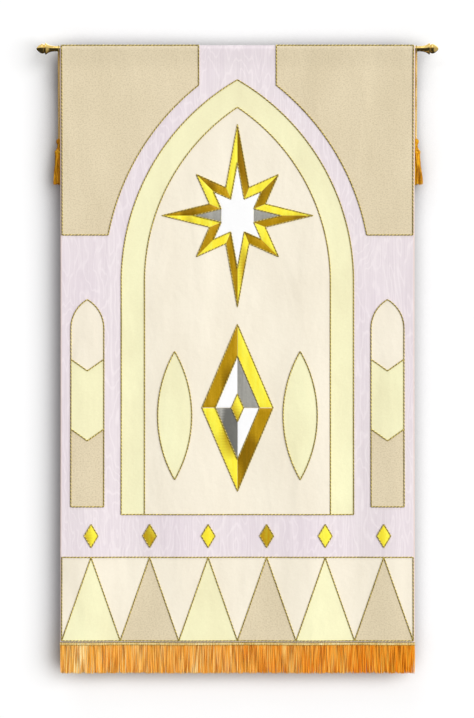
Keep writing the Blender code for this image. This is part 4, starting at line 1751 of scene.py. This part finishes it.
def build_couching(sizes, colours):
    """Couched cords, in a few pieces that each follow one part of the design."""
    radius = sizes.couching_radius
    material = cord_material("gold_cord_two_ply", colours)
    low = LAYER_BASE[1] + 0.7 * radius
    second = LAYER_SECOND[1] + 0.7 * radius
    edge = LAYER_LAME[1] + 0.3 * radius
    core = LAYER_CORE[1] + 0.4 * radius
    top = LAYER_TOP[1] + 0.2 * radius
    outer = lancet(ARCH_HALF, ARCH_HALF, ARCH_SPRING, ARCH_SILL)
    inner = lancet(ARCH_HALF - BAND_WIDTH, ARCH_HALF, ARCH_SPRING, ARCH_SILL)
    corner = corner_panel()
    couch("couching_arch", [
        (closed(outer), True, low), (inner, False, low),
        (corner, True, low), (mirrored(corner), True, low),
    ], radius, material)

    light = closed(lancet(LIGHT_HALF, LIGHT_HALF, LIGHT_SPRING, LIGHT_SILL, LIGHT_MIDDLE))
    bars = [np.array(chevron(down)) for down in LIGHT_CHEVRONS]
    blade = leaf((LEAF_ACROSS, LEAF_DOWN), LEAF_HALVES)
    lights = [(light, True, low), (blade, True, second)] + [(bar, False, low) for bar in bars]
    couch("couching_lights", lights + [
        (mirrored(path), is_closed, height) for path, is_closed, height in lights
    ], radius, material)

    standing, _ = frieze_triangles()
    zigzag = [corner for corners in standing for corner in (corners[0], corners[2])]
    zigzag = np.array(zigzag + [standing[-1][1]])
    frame = polygon(
        (-PANEL_EDGE, FRIEZE_TOP), (PANEL_EDGE, FRIEZE_TOP),
        (PANEL_EDGE, PANEL_FOOT), (-PANEL_EDGE, PANEL_FOOT),
    )
    couch("couching_frieze", [(zigzag, False, low), (frame, True, low)], radius, material)

    shiny = [
        (polygon(*star_corners(STAR_MIDDLE, STAR_REACHES, STAR_INNER)), True, edge),
        (polygon(*star_corners(STAR_MIDDLE, STAR_REACHES, STAR_INNER, STAR_CORE)), True, core),
        (lozenge(PENDANT_MIDDLE, PENDANT_HALVES), True, edge),
        (lozenge(PENDANT_MIDDLE, PENDANT_HALVES, PENDANT_CORE), True, core),
        (lozenge(PENDANT_MIDDLE, HEART_HALVES), True, top),
    ]
    shiny += [(lozenge(place, DROP_HALVES), True, edge) for place in drop_places()]
    couch("couching_star", shiny, radius, material)


class BANNER_OT_fringe(bpy.types.Operator):
    """Hang the bullion fringe from its woven heading"""

    bl_idname = "banner.fringe"
    bl_label = "Fringe"

    def execute(self, context):
        build_fringe(context.scene.banner_sizes, context.scene.banner_colours)
        return {"FINISHED"}


def build_fringe(sizes, colours):
    """Three rows of spun strands under a ribbed heading with two gold cords."""
    draws = np.random.default_rng(FRINGE_SEED)
    stock = MeshStock()
    section = lobed_section(4, 2, 0.70)
    radius, count, rows = sizes.fringe_radius, sizes.fringe_count, len(FRINGE_ROWS)
    width = 2 * CLOTH_HALF - 2 * radius
    for row, behind in enumerate(FRINGE_ROWS):
        for index in range(count):
            across = -width / 2 + width * (index + row / rows) / (count - 1 / rows)
            fold = float(fold_offset(across, CLOTH_DROP))
            shares = (np.arange(FRINGE_STEPS + 1) + draws.uniform(-0.5, 0.5)) / FRINGE_STEPS
            shares = np.clip(shares, 0.0, 1.0)
            shares[0], shares[-1] = 0.0, 1.0
            drop = FRINGE_END - HEADING_TOP - 0.0030 - 0.0006 * row
            drop += 0.0007 * math.sin(across * 211.0) + 0.0007 * draws.normal()
            drift = 0.0012 * math.sin(across * 23.0) + 0.0008 * draws.normal()
            swing = 0.0010 * math.sin(across * 37.0) + 0.0007 * draws.normal()
            bow = 0.0005 * draws.normal()
            path = np.stack([
                across + drift * shares**1.5 + bow * np.sin(math.pi * shares),
                fold + behind + swing * shares**1.4,
                -HEADING_TOP - 0.002 - (drop - 0.002) * shares,
            ], 1)
            widths = radius * (1.0 - 0.5 * ease(shares, TAPER_START, 1.0))
            start = math.tau * draws.random()
            sweep(stock, path, (0.0, 1.0, 0.0), section, widths, FRINGE_TWIST, start)
    # The lean paints shade that deepens the fringe towards the banner's right.
    material = yarn_material(
        "fringe_yarn_spun", colours.fringe, (0.92, 0.36, 0.02), (1.0, 0.88, 0.50), 120.0, 2.0, 0.36,
        lean=(0.92, 0.60, 0.10))
    stock.build("fringe_strands", material, "fringe_yarn", ("fringe",), sharp=80.0)
    build_heading(colours)


def build_heading(colours):
    """The woven heading that holds the strands, with its gold cords."""
    stock = MeshStock()
    across = np.append(np.arange(-CLOTH_HALF, CLOTH_HALF, HEADING_STEP), CLOTH_HALF)
    rib = RIB_HEIGHT * np.sin(across * math.tau / RIB_PITCH)
    fold = fold_offset(across, CLOTH_DROP)
    half = HEADING_HEIGHT / 2
    rings = [
        [(x, offset + depth + (wave if depth < RIB_FRONT else 0.0), -HEADING_TOP - half + level * half)
         for depth, level in HEADING_SECTION]
        for x, wave, offset in zip(across, rib, fold)
    ]
    stock.add_rings(np.array(rings), across)
    material = yarn_material(
        "fringe_heading_weave", (0.90, 0.66, 0.26), (0.62, 0.36, 0.08), (0.98, 0.90, 0.62), 120.0)
    stock.build("fringe_heading", material, "fringe_yarn", sharp=60.0)
    cords = MeshStock()
    for level in HEADING_CORDS:
        height = np.full_like(across, -HEADING_TOP - level)
        path = np.stack([across, fold - HEADING_CORD_FRONT, height], 1)[::2]
        sweep(cords, path, (0.0, -1.0, 0.0), lobed_section(6, 2, 0.7),
              HEADING_CORD_RADIUS, HEADING_CORD_TWIST)
    material = cord_material("gold_cord_two_ply", colours)
    cords.build("fringe_heading_cords", material, "gold_cord", sharp=80.0)


class BANNER_OT_ground(bpy.types.Operator):
    """Hang the watered ground cloth on the rod"""

    bl_idname = "banner.ground"
    bl_label = "Ground cloth"

    def execute(self, context):
        cloth = ground_cloth(context.scene.banner_sizes, context.scene.banner_colours)
        sew_hems(context.scene.banner_colours)
        return {"FINISHED"}


def stitch_row(stock, start, end):
    """A row of short stitches on the cloth's back, between two places (across, down)."""
    start, end = np.array(start), np.array(end)
    length = float(np.linalg.norm(end - start))
    ahead = (end - start) / length
    count = int(length / STITCH_PITCH)
    section = lobed_section(4, 2, 0.8)
    for index in range(count):
        first = start + ahead * (STITCH_PITCH * index)
        places = first + ahead * (STITCH_LENGTH * np.array([0.0, 0.5, 1.0]))[:, None]
        lift = THREAD_RADIUS * np.array([0.1, 0.9, 0.1])
        path = back_place(places[:, 0], places[:, 1], lift)
        sweep(stock, path, (0.0, 1.0, 0.0), section, THREAD_RADIUS)


def sew_hems(colours):
    """Machine stitches along the pocket's flap, the side hems and the bottom hem."""
    stock = MeshStock()
    side = CLOTH_HALF - SIDE_HEM + 2 * HEM_SLOPE
    foot = CLOTH_DROP - BOTTOM_HEM + 2 * HEM_SLOPE
    flap = FLAP_END - 2 * HEM_SLOPE
    stitch_row(stock, (STITCH_INSET - CLOTH_HALF, flap), (CLOTH_HALF - STITCH_INSET, flap))
    stitch_row(stock, (STITCH_INSET - CLOTH_HALF, foot), (CLOTH_HALF - STITCH_INSET, foot))
    for across in (-side, side):
        stitch_row(stock, (across, FLAP_END + STITCH_INSET), (across, foot - STITCH_INSET))
    thread = yarn_material(
        "sewing_thread", colours.moire, (0.46, 0.38, 0.42), (0.92, 0.86, 0.90), 400.0)
    stock.build("hem_stitches", thread, "moire_cloth", sharp=80.0)


class BANNER_PT_panel(bpy.types.Panel):
    """Sidebar panel with one button for each group of pieces"""

    bl_label = "Church Banner"
    bl_idname = "BANNER_PT_panel"
    bl_space_type = "VIEW_3D"
    bl_region_type = "UI"
    bl_category = "Banner"

    def draw(self, context):
        layout = self.layout
        for settings in (context.scene.banner_sizes, context.scene.banner_colours):
            box = layout.box()
            for key in settings.__annotations__:
                box.prop(settings, key)
        for operator in OPERATORS:
            layout.operator(operator.bl_idname)


OPERATORS = (
    BANNER_OT_stage,
    BANNER_OT_tassels,
    BANNER_OT_rod,
    BANNER_OT_patches,
    BANNER_OT_couching,
    BANNER_OT_fringe,
    BANNER_OT_ground,
)
CLASSES = (BannerSizes, BannerColours, *OPERATORS, BANNER_PT_panel)


def register():
    """Register the classes and give each scene its sizes and colours."""
    for item in CLASSES:
        bpy.utils.register_class(item)
    bpy.types.Scene.banner_sizes = PointerProperty(type=BannerSizes)
    bpy.types.Scene.banner_colours = PointerProperty(type=BannerColours)


def unregister():
    """Take the classes and the scenes' settings away again."""
    del bpy.types.Scene.banner_colours
    del bpy.types.Scene.banner_sizes
    for item in reversed(CLASSES):
        bpy.utils.unregister_class(item)


def main():
    """Build everything in order."""
    register()
    bpy.ops.banner.stage()
    bpy.ops.banner.tassels()
    bpy.ops.banner.rod()
    bpy.ops.banner.patches()
    bpy.ops.banner.couching()
    bpy.ops.banner.fringe()
    bpy.ops.banner.ground()


if __name__ == "__main__":
    main()
